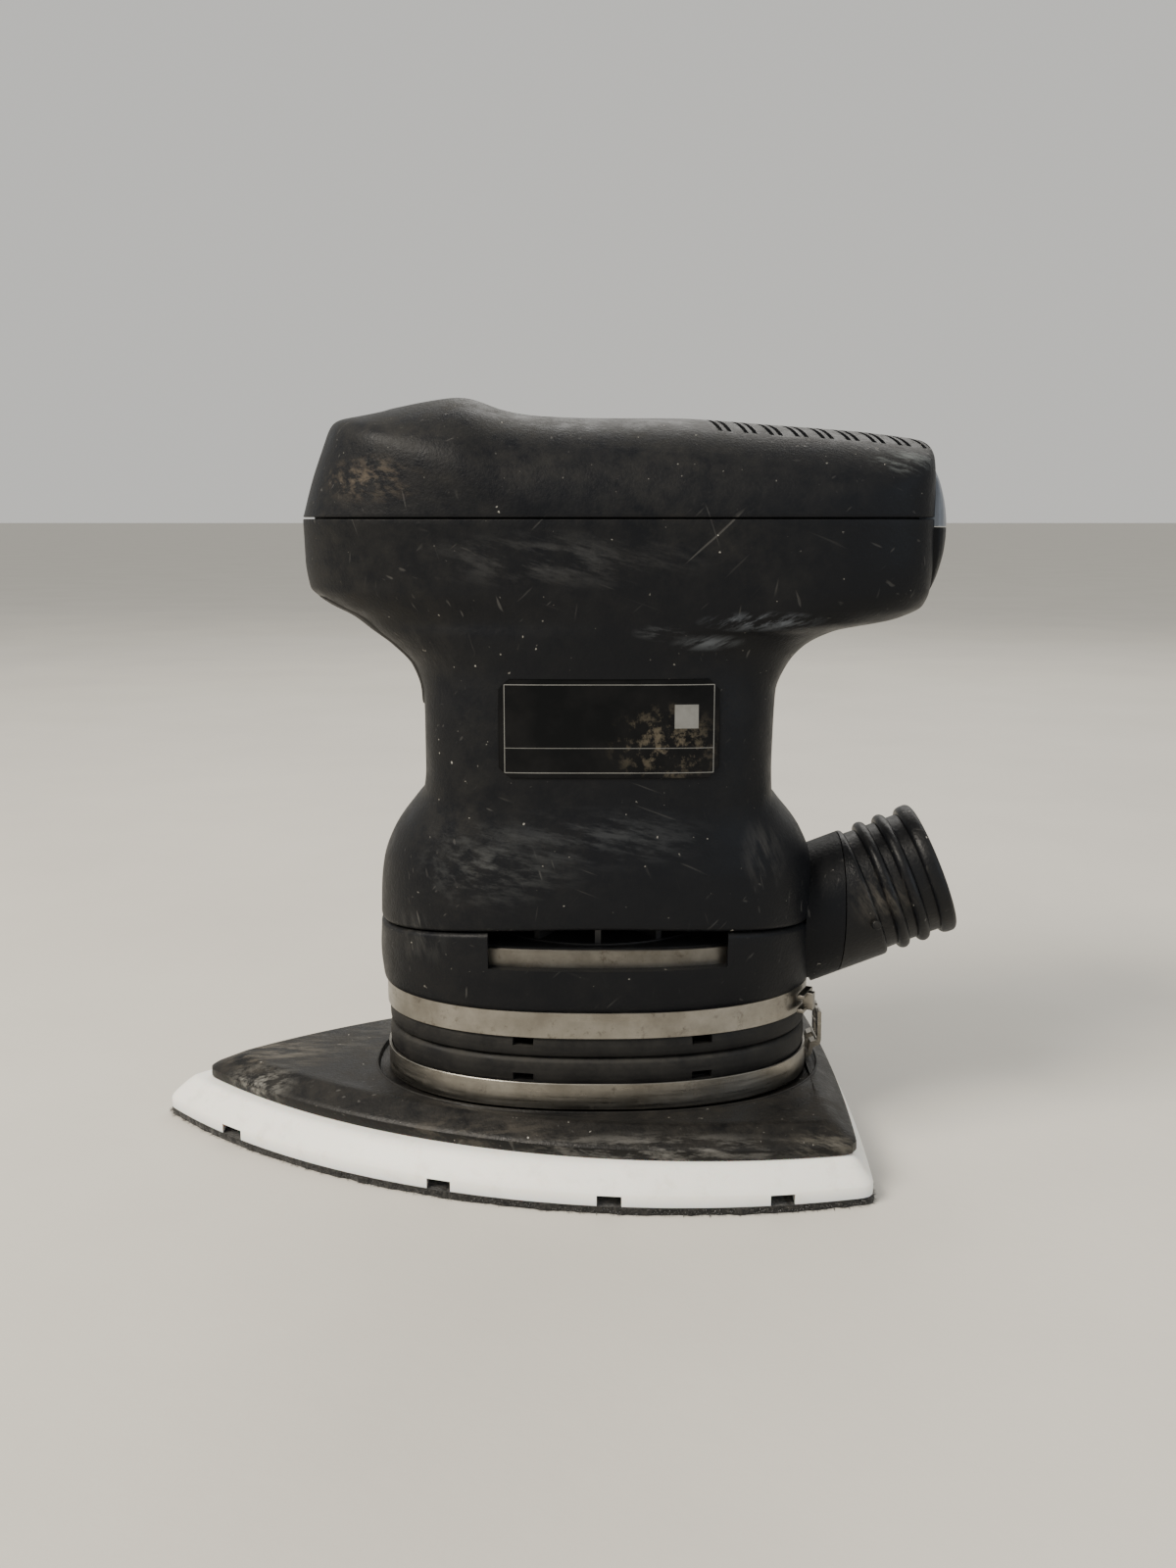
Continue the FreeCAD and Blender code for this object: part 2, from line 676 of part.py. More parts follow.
def port_bar(name, radius, start, end):
    """Cylinder on the tilted dust port axis between two distances from the origin."""
    tilt = size("port_tilt") * pi / 180
    along = Vector(cos(tilt), 0, sin(tilt))
    across = Vector(-sin(tilt), 0, cos(tilt))
    base = along * size(start) + across * size("port_offset")
    turn = Rotation(Vector(0, 0, 1), along)
    return cylinder(name, radius, size(end) - size(start), (base.x, base.y, base.z), turn)


def make_port():
    tilt = size("port_tilt") * pi / 180
    along = Vector(cos(tilt), 0, sin(tilt))
    across = Vector(-sin(tilt), 0, cos(tilt))
    base = across * size("port_offset")
    turn = Rotation(Vector(0, 0, 1), along)
    housing_plug = level_loft("elbow_seat", HOUSING_LEVELS[:9], -0.03)
    band_room = prism("elbow_band_room", -0.9, 18.0, 15.9)
    inner_room = box("elbow_inner_room", 60, 80, 90, (9.0, 0, 0))
    elbow_bar = port_bar("elbow_bar", "port_radius", 38, 80)
    elbow_trim = box("elbow_trim", 60, 60, 80, (size("port_joint") + 30, 0, 0))
    elbow_bore = port_bar("elbow_bore", "port_passage", 30, 80)
    elbow = cut("elbow_cut", elbow_bar, housing_plug, band_room, inner_room, elbow_trim,
                elbow_bore)
    piece("dust_elbow", elbow)

    rib = size("rib_radius")
    body = size("port_radius")
    groove = size("port_socket") + 1.5
    socket = size("port_socket")
    passage = size("port_passage")
    end = size("port_end")
    step = end - size("socket_depth")
    profile = [(passage, 40), (body, 40), (body, 71.2), (body - 0.5, 71.9), (groove, 71.9),
               (groove, 74.4), (rib - 0.4, 74.8), (rib, 75.3), (rib, 76.3), (rib - 0.4, 76.8),
               (groove, 77.2), (groove, 79.0), (rib - 0.4, 79.4), (rib, 79.9), (rib, 80.9),
               (rib - 0.4, 81.4), (groove, 81.8), (groove, 83.4), (rib - 0.5, 83.8),
               (rib, 84.6), (rib, end - 0.9), (rib - 0.9, end), (socket, end),
               (socket, step), (passage, step)]
    nozzle = turned("nozzle_body", profile, (base.x, 0, base.z), turn)
    nozzle_trim = box("nozzle_trim", 60, 60, 80, (size("port_joint") - 30, 0, 0))
    piece("dust_nozzle", cut("nozzle_cut", nozzle, nozzle_trim))
    pins = []
    spot = Vector(57.7, 0, 46.9)
    for side in (1, -1):
        reach = body - 0.6
        low = reach if side > 0 else -reach - 1.6
        pin = cylinder("bayonet_pin_%d" % side, 1.0, 1.6, (spot.x, low, spot.z), ALONG_Y)
        pins.append(cut("bayonet_pin_cut_%d" % side, pin,
                        port_bar("pin_seat_%d" % side, "port_radius", 40, 86)))
    piece("bayonet_pins", group("bayonet_pin_group", *pins))


TOP_PROFILE = (
    (-66.0, 146.6), (-52.0, 149.0), (-44.0, 150.4), (-35.9, 152.3), (-29.0, 153.4),
    (-26.3, 153.7), (-22.9, 152.4), (-19.0, 150.9), (-13.0, 149.9), (0.0, 149.4),
    (14.0, 149.4), (34.0, 148.1), (50.0, 146.9), (62.0, 145.5), (76.0, 143.2),
)
TOP_PLAN = (
    (124.0, -61.4, 65.7, 32.3, 2.7, 6.0),
    (130.3, -59.6, 65.6, 32.3, 2.7, 6.0),
    (137.0, -57.7, 65.4, 32.3, 2.7, 6.0),
    (144.0, -55.1, 64.9, 32.3, 2.7, 6.0),
    (157.0, -50.2, 63.3, 32.3, 2.7, 6.0),
)
SWITCH_LEAN = 20.0
SWITCH_TURN = Rotation(Vector(0, 1, 0), -90 + SWITCH_LEAN)
SWITCH_AT = (-49.6, 0, 137.2)


def dome(name, inset):
    outlines = []
    centre = 118.0
    for index, (x, top) in enumerate(refined(TOP_PROFILE, 4.0)):
        outlines.append(rounded_outline("%s_arch_%d" % (name, index), 33.4 - inset,
                                        top - inset - centre, 2.9, (x, 0, centre), YZ_SECTION))
    return loft(name, outlines)


def make_top_shell():
    wall = size("wall")
    blank = common("top_blank", level_loft("top_plan", TOP_PLAN), dome("top_dome", 0))
    hollow = common("top_hollow", level_loft("top_plan_inside", TOP_PLAN, wall),
                    dome("top_dome_inside", wall))
    below = box("top_trim", 220, 120, 20, (0, 0, size("parting") - 20))
    grooves = []
    for index in range(9):
        x = 21.0 + 4.9 * index
        for shift in (0, 1.5):
            groove = box("grip_groove_%d_%d" % (index, int(shift * 2)), 0.7, 44, 3,
                         (x + shift, 0, 149.0 - 0.075 * (x - 20) - 0.75),
                         Rotation(Vector(0, 1, 0), 4.5))
            grooves.append(groove)
    switch_window = box("switch_window", 11.4, 17.2, 14, SWITCH_AT, SWITCH_TURN)
    rear_seat = cap_solid("top_rear_seat", 0.25)
    piece("top_shell", cut("top_shell_cut", blank, below, hollow, rear_seat, switch_window, *grooves))


def switch_point(depth):
    """Point on the line that leaves the rocker's pivot square to the sloping face."""
    out = SWITCH_TURN.multVec(Vector(0, 0, 1))
    return tuple(Vector(*SWITCH_AT) + out * depth)


def make_switch():
    block = box("rocker_block", 9.6, 16.0, 7.0, switch_point(-0.2), SWITCH_TURN)
    pivot = cylinder("rocker_pivot", 1.5, 19.6, (SWITCH_AT[0], -9.8, SWITCH_AT[2]), ALONG_Y)
    stem = box("rocker_stem", 3.0, 8.0, 3.0, switch_point(-2.2), SWITCH_TURN)
    piece("rocker_switch", fuse("rocker_body", block, pivot, stem))
    cheeks = [box("switch_cheek_%d" % side, 6.0, 1.6, 6.4,
                  tuple(Vector(*switch_point(-4.2)) + Vector(0, side * 9.4, 0)), SWITCH_TURN)
              for side in (1, -1)]
    module = box("switch_case", 10.0, 20.4, 9.0, switch_point(-13.0), SWITCH_TURN)
    eyes = cylinder("pivot_eyes", 1.55, 30, (SWITCH_AT[0], -15, SWITCH_AT[2]), ALONG_Y)
    piece("switch_module", cut("switch_module_cut", fuse("switch_frame", module, *cheeks), eyes))


# ----------------------------------------------------------------------------
# Rear cap with the mains inlet
# ----------------------------------------------------------------------------
def cap_solid(name, grow):
    stations = ((59.5 - 2 * grow, 22.5, 15.0), (65.0, 22.5, 14.9), (66.0, 21.9, 13.4),
                (67.1, 19.6, 10.6), (68.4, 15.0, 7.2), (70.0, 8.0, 3.6))
    outlines = [rounded_outline("%s_ring_%d" % (name, index), half_y + grow, half_z + grow, 2.5,
                                (x + grow, 0, 127.5), YZ_SECTION)
                for index, (x, half_y, half_z) in enumerate(stations)]
    return loft(name, outlines)


def make_rear_cap():
    split = 128.0
    hollow = box("cap_hollow", 6, 39, 25.2, (59.6, 0, 114.9))
    upper_zone = box("cap_upper_zone", 40, 80, 40, (66, 0, split + 0.2))
    lower_zone = box("cap_lower_zone", 40, 80, 40, (66, 0, split - 40.2))
    blank = cut("cap_blank", cap_solid("cap_body", 0), hollow)
    piece("rear_cap_upper", common("cap_upper", blank, upper_zone))
    lower = common("cap_lower", blank, lower_zone)
    socket_hole = cylinder("inlet_hole", 5.0, 30, (50, 0, 121.5), ALONG_X)
    piece("rear_cap_lower", cut("cap_lower_cut", lower, socket_hole))
    cup = cylinder("inlet_cup", 6.3, 12.0, (50.5, 0, 121.5), ALONG_X)
    recess = cylinder("inlet_recess", 5.0, 20.0, (52.5, 0, 121.5), ALONG_X)
    contacts = [cylinder("inlet_contact_%d" % side, 0.9, 6.0, (46.5, side * 2.4, 121.5), ALONG_X)
                for side in (1, -1)]
    piece("mains_inlet", cut("mains_inlet_cut", cup, recess, *contacts))
    piece("inlet_contacts", group("inlet_contact_group", *contacts))


# ----------------------------------------------------------------------------
# Bearings
# ----------------------------------------------------------------------------
def make_bearing(name, bore, outer, width, low, centre_x, count):
    """Deep-groove ball bearing as an outer ring, an inner ring and a set of balls."""
    pitch = (bore + outer) / 2
    ball = (outer - bore) * 0.29
    gap = 0.04
    middle = low + width / 2
    groove = add("Part::Torus", name + "_groove")
    groove.Radius1 = pitch
    groove.Radius2 = ball + gap
    place(groove, (centre_x, 0, middle))
    outer_blank = tube(name + "_outer_blank", outer, pitch + ball * 0.55, width, (centre_x, 0, low))
    inner_blank = tube(name + "_inner_blank", pitch - ball * 0.55, bore, width, (centre_x, 0, low))
    piece(name + "_outer_ring", cut(name + "_outer", outer_blank, groove))
    piece(name + "_inner_ring", cut(name + "_inner", inner_blank, groove))
    balls = []
    for index in range(count):
        angle = 2 * pi * index / count
        sphere = add("Part::Sphere", "%s_ball_%d" % (name, index))
        sphere.Radius = ball
        place(sphere, (size(centre_x) + pitch * cos(angle), pitch * sin(angle), middle))
        balls.append(sphere)
    piece(name + "_balls", group(name + "_ball_group", *balls))


# ----------------------------------------------------------------------------
# Rotor
# ----------------------------------------------------------------------------
def make_rotor():
    shaft = turned("shaft_turned", [
        (0, 23.4), (8.0, 23.4), (8.0, 26.0), ("journal_radius", 26.0), ("journal_radius", 63.0),
        (5.0, 63.0), (5.0, 119.0), (4.0, 119.0), (4.0, 127.0), (0, 127.0)])
    pin = cylinder("eccentric_pin", "pin_radius", 9.4, ("orbit_radius", 0, 14.4))
    pin_thread = cylinder("pin_thread_hole", 2.0, 8, ("orbit_radius", 0, 12))
    piece("rotor_shaft", cut("shaft_cut", fuse("shaft_with_pin", shaft, pin), pin_thread))
    piece("eccentric_screw", turned("eccentric_screw", [
        (0, 12.4), (1.4, 12.4), (1.4, 11.6), (4.0, 11.6), (4.0, 13.4), (6.6, 13.4), (6.6, 14.4),
        (2.0, 14.4), (2.0, 20.0), (0, 20.0)], ("orbit_radius", 0, 0)))

    disc = cylinder("weight_disc", 24.0, 8.0, (0, 0, 27.0))
    relief = box("weight_relief", 40, 60, 10, (24.0, 0, 26.0))
    boss = cylinder("weight_boss", 11.0, 8.0, (0, 0, 27.0))
    weight_bore = cylinder("weight_bore", "journal_radius", 12, (0, 0, 25.0))
    weight = fuse("weight_body", cut("weight_sector", disc, relief), boss)
    piece("counterweight", cut("counterweight_cut", weight, weight_bore))

    plate = cylinder("fan_plate", 25.0, 1.4, (0, 0, 44.6))
    hub = cylinder("fan_hub", 9.5, 14.0, (0, 0, 38.0))
    blades = []
    for index in range(12):
        angle = index * 30
        turn = Rotation(Vector(0, 0, 1), angle)
        middle = turn.multVec(Vector(16.6, 0, 0))
        blades.append(box("fan_blade_%d" % index, 16.0, 1.2, 14.0, (middle.x, middle.y, 38.0), turn))
    fan_bore = cylinder("fan_bore", "journal_radius", 20, (0, 0, 36.0))
    piece("fan", cut("fan_cut", fuse("fan_body", plate, hub, *blades), fan_bore))

    low = size("core_low")
    high = size("core_high")
    core = cylinder("armature_blank", "armature_radius", "core_high - core_low", (0, 0, "core_low"))
    slots = []
    for index in range(12):
        turn = Rotation(Vector(0, 0, 1), index * 30)
        mouth = turn.multVec(Vector(16.4, 0, 0))
        pocket = turn.multVec(Vector(13.2, 0, 0))
        slots.append(box("slot_mouth_%d" % index, 3.0, 1.2, 40, (mouth.x, mouth.y, 64), turn))
        slots.append(cylinder("slot_pocket_%d" % index, 2.2, 40, (pocket.x, pocket.y, 64)))
    core_bore = cylinder("core_bore", 5.0, 50, (0, 0, 60))
    piece("armature_core", cut("armature_core_cut", core, core_bore, *slots))
    heads = turned("winding_heads", [
        (5.0, low - 4.6), (12.5, low - 4.6), (15.6, low - 2.4), (15.6, low), (5.0, low)])
    upper_heads = turned("winding_upper_heads", [
        (5.0, high), (15.6, high), (15.6, high + 2.4), (12.5, high + 5.4), (5.0, high + 5.4)])
    bars = []
    for index in range(12):
        turn = Rotation(Vector(0, 0, 1), index * 30)
        pocket = turn.multVec(Vector(13.2, 0, 0))
        bars.append(cylinder("winding_bar_%d" % index, 2.1, high - low, (pocket.x, pocket.y, low)))
    piece("armature_windings", fuse("winding_body", heads, upper_heads, *bars))
    commutator = tube("commutator_blank", "commutator_radius", 5.0, 11.0, (0, 0, 107.0))
    cuts = []
    for index in range(24):
        turn = Rotation(Vector(0, 0, 1), index * 15 + 7.5)
        middle = turn.multVec(Vector(10.8, 0, 0))
        cuts.append(box("bar_gap_%d" % index, 1.6, 0.5, 9.0, (middle.x, middle.y, 109.2), turn))
    piece("commutator", cut("commutator_cut", commutator, *cuts))


# ----------------------------------------------------------------------------
# Motor parts fixed in the housing
# ----------------------------------------------------------------------------
def make_stator():
    outer = cylinder("stator_blank", "stator_radius", "core_high - core_low", (0, 0, "core_low"))
    inner = cylinder("stator_bore", 17.7, 50, (0, 0, 60))
    wells = []
    for angle in (55, 125, 235, 305):
        turn = Rotation(Vector(0, 0, 1), angle)
        middle = turn.multVec(Vector(19.7, 0, 0))
        wells.append(box("coil_well_%d" % angle, 6.4, 9.0, 50, (middle.x, middle.y, 60), turn))
    piece("stator_core", cut("stator_core_cut", outer, inner, *wells))
    coils = []
    for side, start in ((1, 48), (-1, 228)):
        parts = []
        for z in (64.0, 100.3):
            head = tube("coil_head_%d_%d" % (side, z), 23.4, 18.2, 3.7, (0, 0, z))
            for part in head.Base, head.Tool:
                part.Placement = Placement(Vector(0, 0, z), Rotation(Vector(0, 0, 1), start))
            head.Base.Angle = 84
            parts.append(head)
        for angle in (start + 7, start + 77):
            turn = Rotation(Vector(0, 0, 1), angle)
            middle = turn.multVec(Vector(20.4, 0, 0))
            parts.append(box("coil_leg_%d" % angle, 4.0, 5.0, 38.0, (middle.x, middle.y, 65.0), turn))
        coils.append(fuse("field_coil_%d" % side, *parts))
    piece("field_coils", group("field_coil_group", *coils))

    seat = tube("lower_seat", 17.0, 14.0, 8.0, (0, 0, 54.0))
    shoulder = (-44.9, 44.8, 31.9, 2.8, 2.8)
    plate = level_loft("lower_seat_plate", [(58.8,) + shoulder, (61.0,) + shoulder], 4.2)
    plate_bore = cylinder("lower_seat_bore", 14.0, 20, (0, 0, 50))
    vents = []
    for step in range(6):
        angle = step * pi / 3
        vents.append(cylinder("lower_vent_%d" % step, 5.0, 20, (28 * cos(angle), 20 * sin(angle), 50)))
    seat_body = fuse("lower_seat_body", seat, plate)
    piece("lower_bearing_seat", cut("lower_seat_cut", seat_body, plate_bore, *vents))
    bridge = box("bridge_bar", 24, 53.6, 4.0, (0, 0, 120.5))
    cup = cylinder("bridge_cup", 14.0, 9.0, (0, 0, 120.0))
    cup_bore = cylinder("bridge_bore", 11.0, 7.4, (0, 0, 119.6))
    piece("upper_bearing_bridge", cut("bridge_cut", fuse("bridge_body", bridge, cup), cup_bore))

    holders = []
    brushes = []
    springs = []
    for side in (1, -1):
        turn = Rotation(Vector(1, 0, 0), -90 * side)
        start = side * 12.0
        sleeve = box("holder_block_%d" % side, 8.6, 8.6, 15.6, (0, start, 112.5), turn)
        channel = box("holder_channel_%d" % side, 6.1, 6.1, 15.4, (0, start - side, 112.5), turn)
        holders.append(cut("brush_holder_%d" % side, sleeve, channel))
        brushes.append(box("brush_%d" % side, 6.0, 6.0, 9.0, (0, side * 11.06, 112.5), turn))
        wire = add("Part::Feature", "spring_wire_%d" % side)
        wire.Shape = spring_shape(2.0, 0.22, 1.3, 5.2)
        place(wire, (0, side * 20.5, 112.5), turn)
        springs.append(wire)
    piece("brush_holders", group("brush_holder_group", *holders))
    piece("carbon_brushes", group("brush_group", *brushes))
    piece("brush_springs", group("spring_group", *springs))
    case = box("capacitor_case", 16, 20, 9, (40, 0, 131.0))
    piece("suppressor_capacitor", case)


def spring_shape(radius, wire_radius, pitch, height):
    path = Part.makeHelix(pitch, height, radius)
    profile = Part.Wire(Part.makeCircle(wire_radius, Vector(radius, 0, 0), Vector(0, 1, 0)))
    return Part.Wire(path).makePipeShell([profile], True, True)


def make_all():
    make_pad()
    make_carrier()
    make_bands()
    make_housing()
    make_label()
    make_port()
    make_top_shell()
    make_switch()
    make_rear_cap()
    make_bearing("eccentric_bearing", 5.0, 13.0, 8.0, 14.6, "orbit_radius", 7)
    make_bearing("lower_bearing", 6.0, 14.0, 8.0, 54.0, 0, 8)
    make_bearing("upper_bearing", 4.0, 11.0, 7.0, 120.0, 0, 7)
    make_rotor()
    make_stator()


def write_pieces():
    doc.recompute()
    for thing in doc.Objects:
        if "Invalid" in thing.State or "Error" in thing.State:
            raise SystemExit("feature failed: " + thing.Name)
    os.makedirs("parts", exist_ok=True)
    for thing in pieces:
        if thing.Shape.isNull() or not thing.Shape.isValid():
            raise SystemExit("shape failed: " + thing.Label)
        thing.Shape.exportStep("parts/%s.step" % thing.Label)
        print(thing.Label, len(thing.Shape.Solids), "solids", round(thing.Shape.Volume, 1))


make_all()
write_pieces()
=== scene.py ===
import json
import math

import bmesh
import bpy
import numpy as np
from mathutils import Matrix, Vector


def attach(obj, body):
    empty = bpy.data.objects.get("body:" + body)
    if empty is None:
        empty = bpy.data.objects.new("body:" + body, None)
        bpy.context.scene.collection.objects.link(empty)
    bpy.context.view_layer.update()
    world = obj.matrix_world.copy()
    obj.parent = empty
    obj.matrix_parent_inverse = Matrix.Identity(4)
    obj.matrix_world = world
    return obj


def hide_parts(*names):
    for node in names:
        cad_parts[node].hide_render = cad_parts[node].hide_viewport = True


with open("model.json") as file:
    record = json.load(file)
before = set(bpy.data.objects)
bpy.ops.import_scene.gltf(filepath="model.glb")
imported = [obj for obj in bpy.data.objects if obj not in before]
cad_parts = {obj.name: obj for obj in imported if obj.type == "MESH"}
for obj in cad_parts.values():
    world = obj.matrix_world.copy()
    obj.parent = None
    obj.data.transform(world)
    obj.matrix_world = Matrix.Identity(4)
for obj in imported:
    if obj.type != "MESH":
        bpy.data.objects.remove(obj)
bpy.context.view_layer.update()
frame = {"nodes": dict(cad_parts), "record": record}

MM = 0.001
RING = 200                      # points round a closed loop
rng = np.random.default_rng(7)


# ---- Loops and curves (all in millimetres, in the row frame) ----
def eased(track, place):
    """Value at a place on a curve through (place, value) points that never overshoots."""
    xs, ys = track[:, 0], track[:, 1]
    index = int(np.clip(np.searchsorted(xs, place) - 1, 0, len(xs) - 2))
    steps = np.diff(ys) / np.diff(xs)

    def slope(i):
        if i == 0 or i == len(xs) - 1:
            return steps[0] if i == 0 else steps[-1]
        a, b = steps[i - 1], steps[i]
        return 0.0 if a * b <= 0 else 2 * a * b / (a + b)

    span = xs[index + 1] - xs[index]
    t = (place - xs[index]) / span
    return (ys[index] * (1 + 2 * t) * (1 - t) ** 2 + slope(index) * span * t * (1 - t) ** 2
            + ys[index + 1] * t * t * (3 - 2 * t) + slope(index + 1) * span * t * t * (t - 1))


def superellipse(half_x, half_y, roundness, centre=0.0, count=RING, rear_roundness=None):
    """Evenly spaced points of |x/half_x|^n + |y/half_y|^n = 1, as an array of (x, y)."""
    angle = np.linspace(0, 2 * np.pi, 2881)
    across, along = np.cos(angle), np.sin(angle)
    power = 2 / np.where(across > 0, rear_roundness or roundness, roundness)
    x = half_x * np.sign(across) * np.abs(across) ** power
    y = half_y * np.sign(along) * np.abs(along) ** power
    return evenly(np.column_stack([x + centre, y]), count)


def evenly(points, count, closed=True):
    """Resample a line of points at even spacing."""
    lengths = np.concatenate([[0], np.cumsum(np.linalg.norm(np.diff(points, axis=0), axis=1))])
    places = np.linspace(0, lengths[-1], count + 1)[:-1] if closed else np.linspace(0, lengths[-1], count)
    return np.column_stack([np.interp(places, lengths, points[:, k]) for k in range(points.shape[1])])


def at_height(outline, z):
    """Give a plane outline a height, one number or one per point."""
    return np.column_stack([outline, np.broadcast_to(z, len(outline))])


def section(levels, z, inset=0.0):
    """Outline of a shell at a height, from (z, front, rear, half width, roundness, rear roundness)."""
    table = np.array(levels, float)
    z = float(np.clip(z, table[0, 0], table[-1, 0]))
    front, rear, half_width, roundness, rear_roundness = [eased(table[:, (0, k)], z) for k in range(1, 6)]
    return superellipse((rear - front) / 2 - inset, half_width - inset, roundness, (front + rear) / 2,
                        rear_roundness=rear_roundness)


# ---- Meshes ----
def make(name, shape, body, slot, replaced, crease, look="", wall=0.0, keep=(), cuts=()):
    """A carved and coloured piece from (points, faces), with its body, slot and replaced CAD nodes."""
    points, faces = shape
    mesh = bpy.data.meshes.new(name)
    mesh.from_pydata([tuple(p) for p in np.asarray(points) * MM], [], faces)
    mesh.validate()
    piece = bpy.data.objects.new(name, mesh)
    bpy.context.collection.objects.link(piece)
    tidy_normals(piece)
    soften(piece, crease)
    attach(piece, body)
    if replaced:
        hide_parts(*replaced)
    if wall:
        thick = piece.modifiers.new("wall", "SOLIDIFY")
        thick.thickness = wall * MM
        thick.offset = -1
    if keep:
        carve(piece, keep, "INTERSECT", crease)
    if cuts:
        carve(piece, cuts, "DIFFERENCE", crease)
    dress(piece, look or SLOT_LOOKS[slot])
    return piece


def tidy_normals(piece):
    """Join points that fall together and turn every face outwards."""
    work = bmesh.new()
    work.from_mesh(piece.data)
    bmesh.ops.remove_doubles(work, verts=work.verts, dist=1e-7)
    bmesh.ops.recalc_face_normals(work, faces=work.faces)
    work.to_mesh(piece.data)
    work.free()


def soften(piece, crease):
    """Shade smooth, except along edges sharper than the crease angle."""
    for face in piece.data.polygons:
        face.use_smooth = True
    piece.data.set_sharp_from_angle(angle=math.radians(crease))


def rows_faces(rows, count, wrap_rows=False):
    """Quads between rows of closed loops that follow each other."""
    faces = []
    last = rows if wrap_rows else rows - 1
    for row in range(last):
        low, high = row * count, ((row + 1) % rows) * count
        for k in range(count):
            after = (k + 1) % count
            faces.append((low + k, low + after, high + after, high + k))
    return faces


def lathe(loops, close="wrap"):
    """Points and faces of a skin through loops: wrapped onto itself, capped at both ends, or open."""
    count = len(loops[0])
    points = np.vstack(loops)
    faces = rows_faces(len(loops), count, close == "wrap")
    if close == "caps":
        faces.append(tuple(range(count))[::-1])
        start = (len(loops) - 1) * count
        faces.append(tuple(range(start, start + count)))
    return points, faces


def block(low, high, bevel=0.0):
    """Points and faces of a box between two corners, with its edges rounded by the bevel."""
    work = bmesh.new()
    bmesh.ops.create_cube(work, size=1.0)
    low, high = np.array(low, float), np.array(high, float)
    for vert in work.verts:
        vert.co = Vector((np.array(vert.co) + 0.5) * (high - low) + low)
    if bevel:
        bmesh.ops.bevel(work, geom=list(work.edges), offset=bevel, segments=3, affect="EDGES", profile=0.5)
    points = [tuple(vert.co) for vert in work.verts]
    work.verts.index_update()
    faces = [tuple(vert.index for vert in face.verts) for face in work.faces]
    work.free()
    return points, faces


def rod(start, end, radius, count=24, ends=0.0):
    """Round rod between two points, with its ends rounded by a small radius."""
    start, end = np.array(start, float), np.array(end, float)
    length = np.linalg.norm(end - start)
    along = (end - start) / length
    side = np.cross(along, [0, 0, 1] if abs(along[2]) < 0.9 else [1, 0, 0])
    side /= np.linalg.norm(side)
    up = np.cross(along, side)
    angle = np.linspace(0, 2 * np.pi, count, endpoint=False)
    circle = np.outer(np.cos(angle), side) + np.outer(np.sin(angle), up)
    rows = [(0.0, radius), (length, radius)]
    if ends:
        turns = np.linspace(0, np.pi / 2, 5)
        low = [(ends * (1 - math.sin(t)), radius - ends * (1 - math.cos(t))) for t in turns[::-1]]
        rows = low + [(length - place, size) for place, size in low[::-1]]
    return lathe([start + along * place + circle * size for place, size in rows], "caps")


def merged(parts):
    """Points and faces of several parts as one."""
    points, faces, first = [], [], 0
    for part_points, part_faces in parts:
        points.extend([tuple(p) for p in part_points])
        faces.extend([tuple(first + k for k in face) for face in part_faces])
        first += len(part_points)
    return points, faces


def carve(piece, shapes, mode, crease):
    """Cut shapes (points, faces) out of a piece, or keep what they share with it."""
    cutters = []
    for points, faces in shapes:
        mesh = bpy.data.meshes.new("cutter")
        mesh.from_pydata([tuple(np.array(p) * MM) for p in points], [], faces)
        cutter = bpy.data.objects.new("cutter", mesh)
        bpy.context.collection.objects.link(cutter)
        tidy_normals(cutter)
        change = piece.modifiers.new("cut", "BOOLEAN")
        change.operation = mode
        change.solver = "EXACT"
        change.object = cutter
        cutters.append(cutter)
    bpy.context.view_layer.update()
    depsgraph = bpy.context.evaluated_depsgraph_get()
    result = bpy.data.meshes.new_from_object(piece.evaluated_get(depsgraph))
    piece.modifiers.clear()
    old = piece.data
    piece.data = result
    bpy.data.meshes.remove(old)
    for cutter in cutters:
        bpy.data.objects.remove(cutter)
    soften(piece, crease)


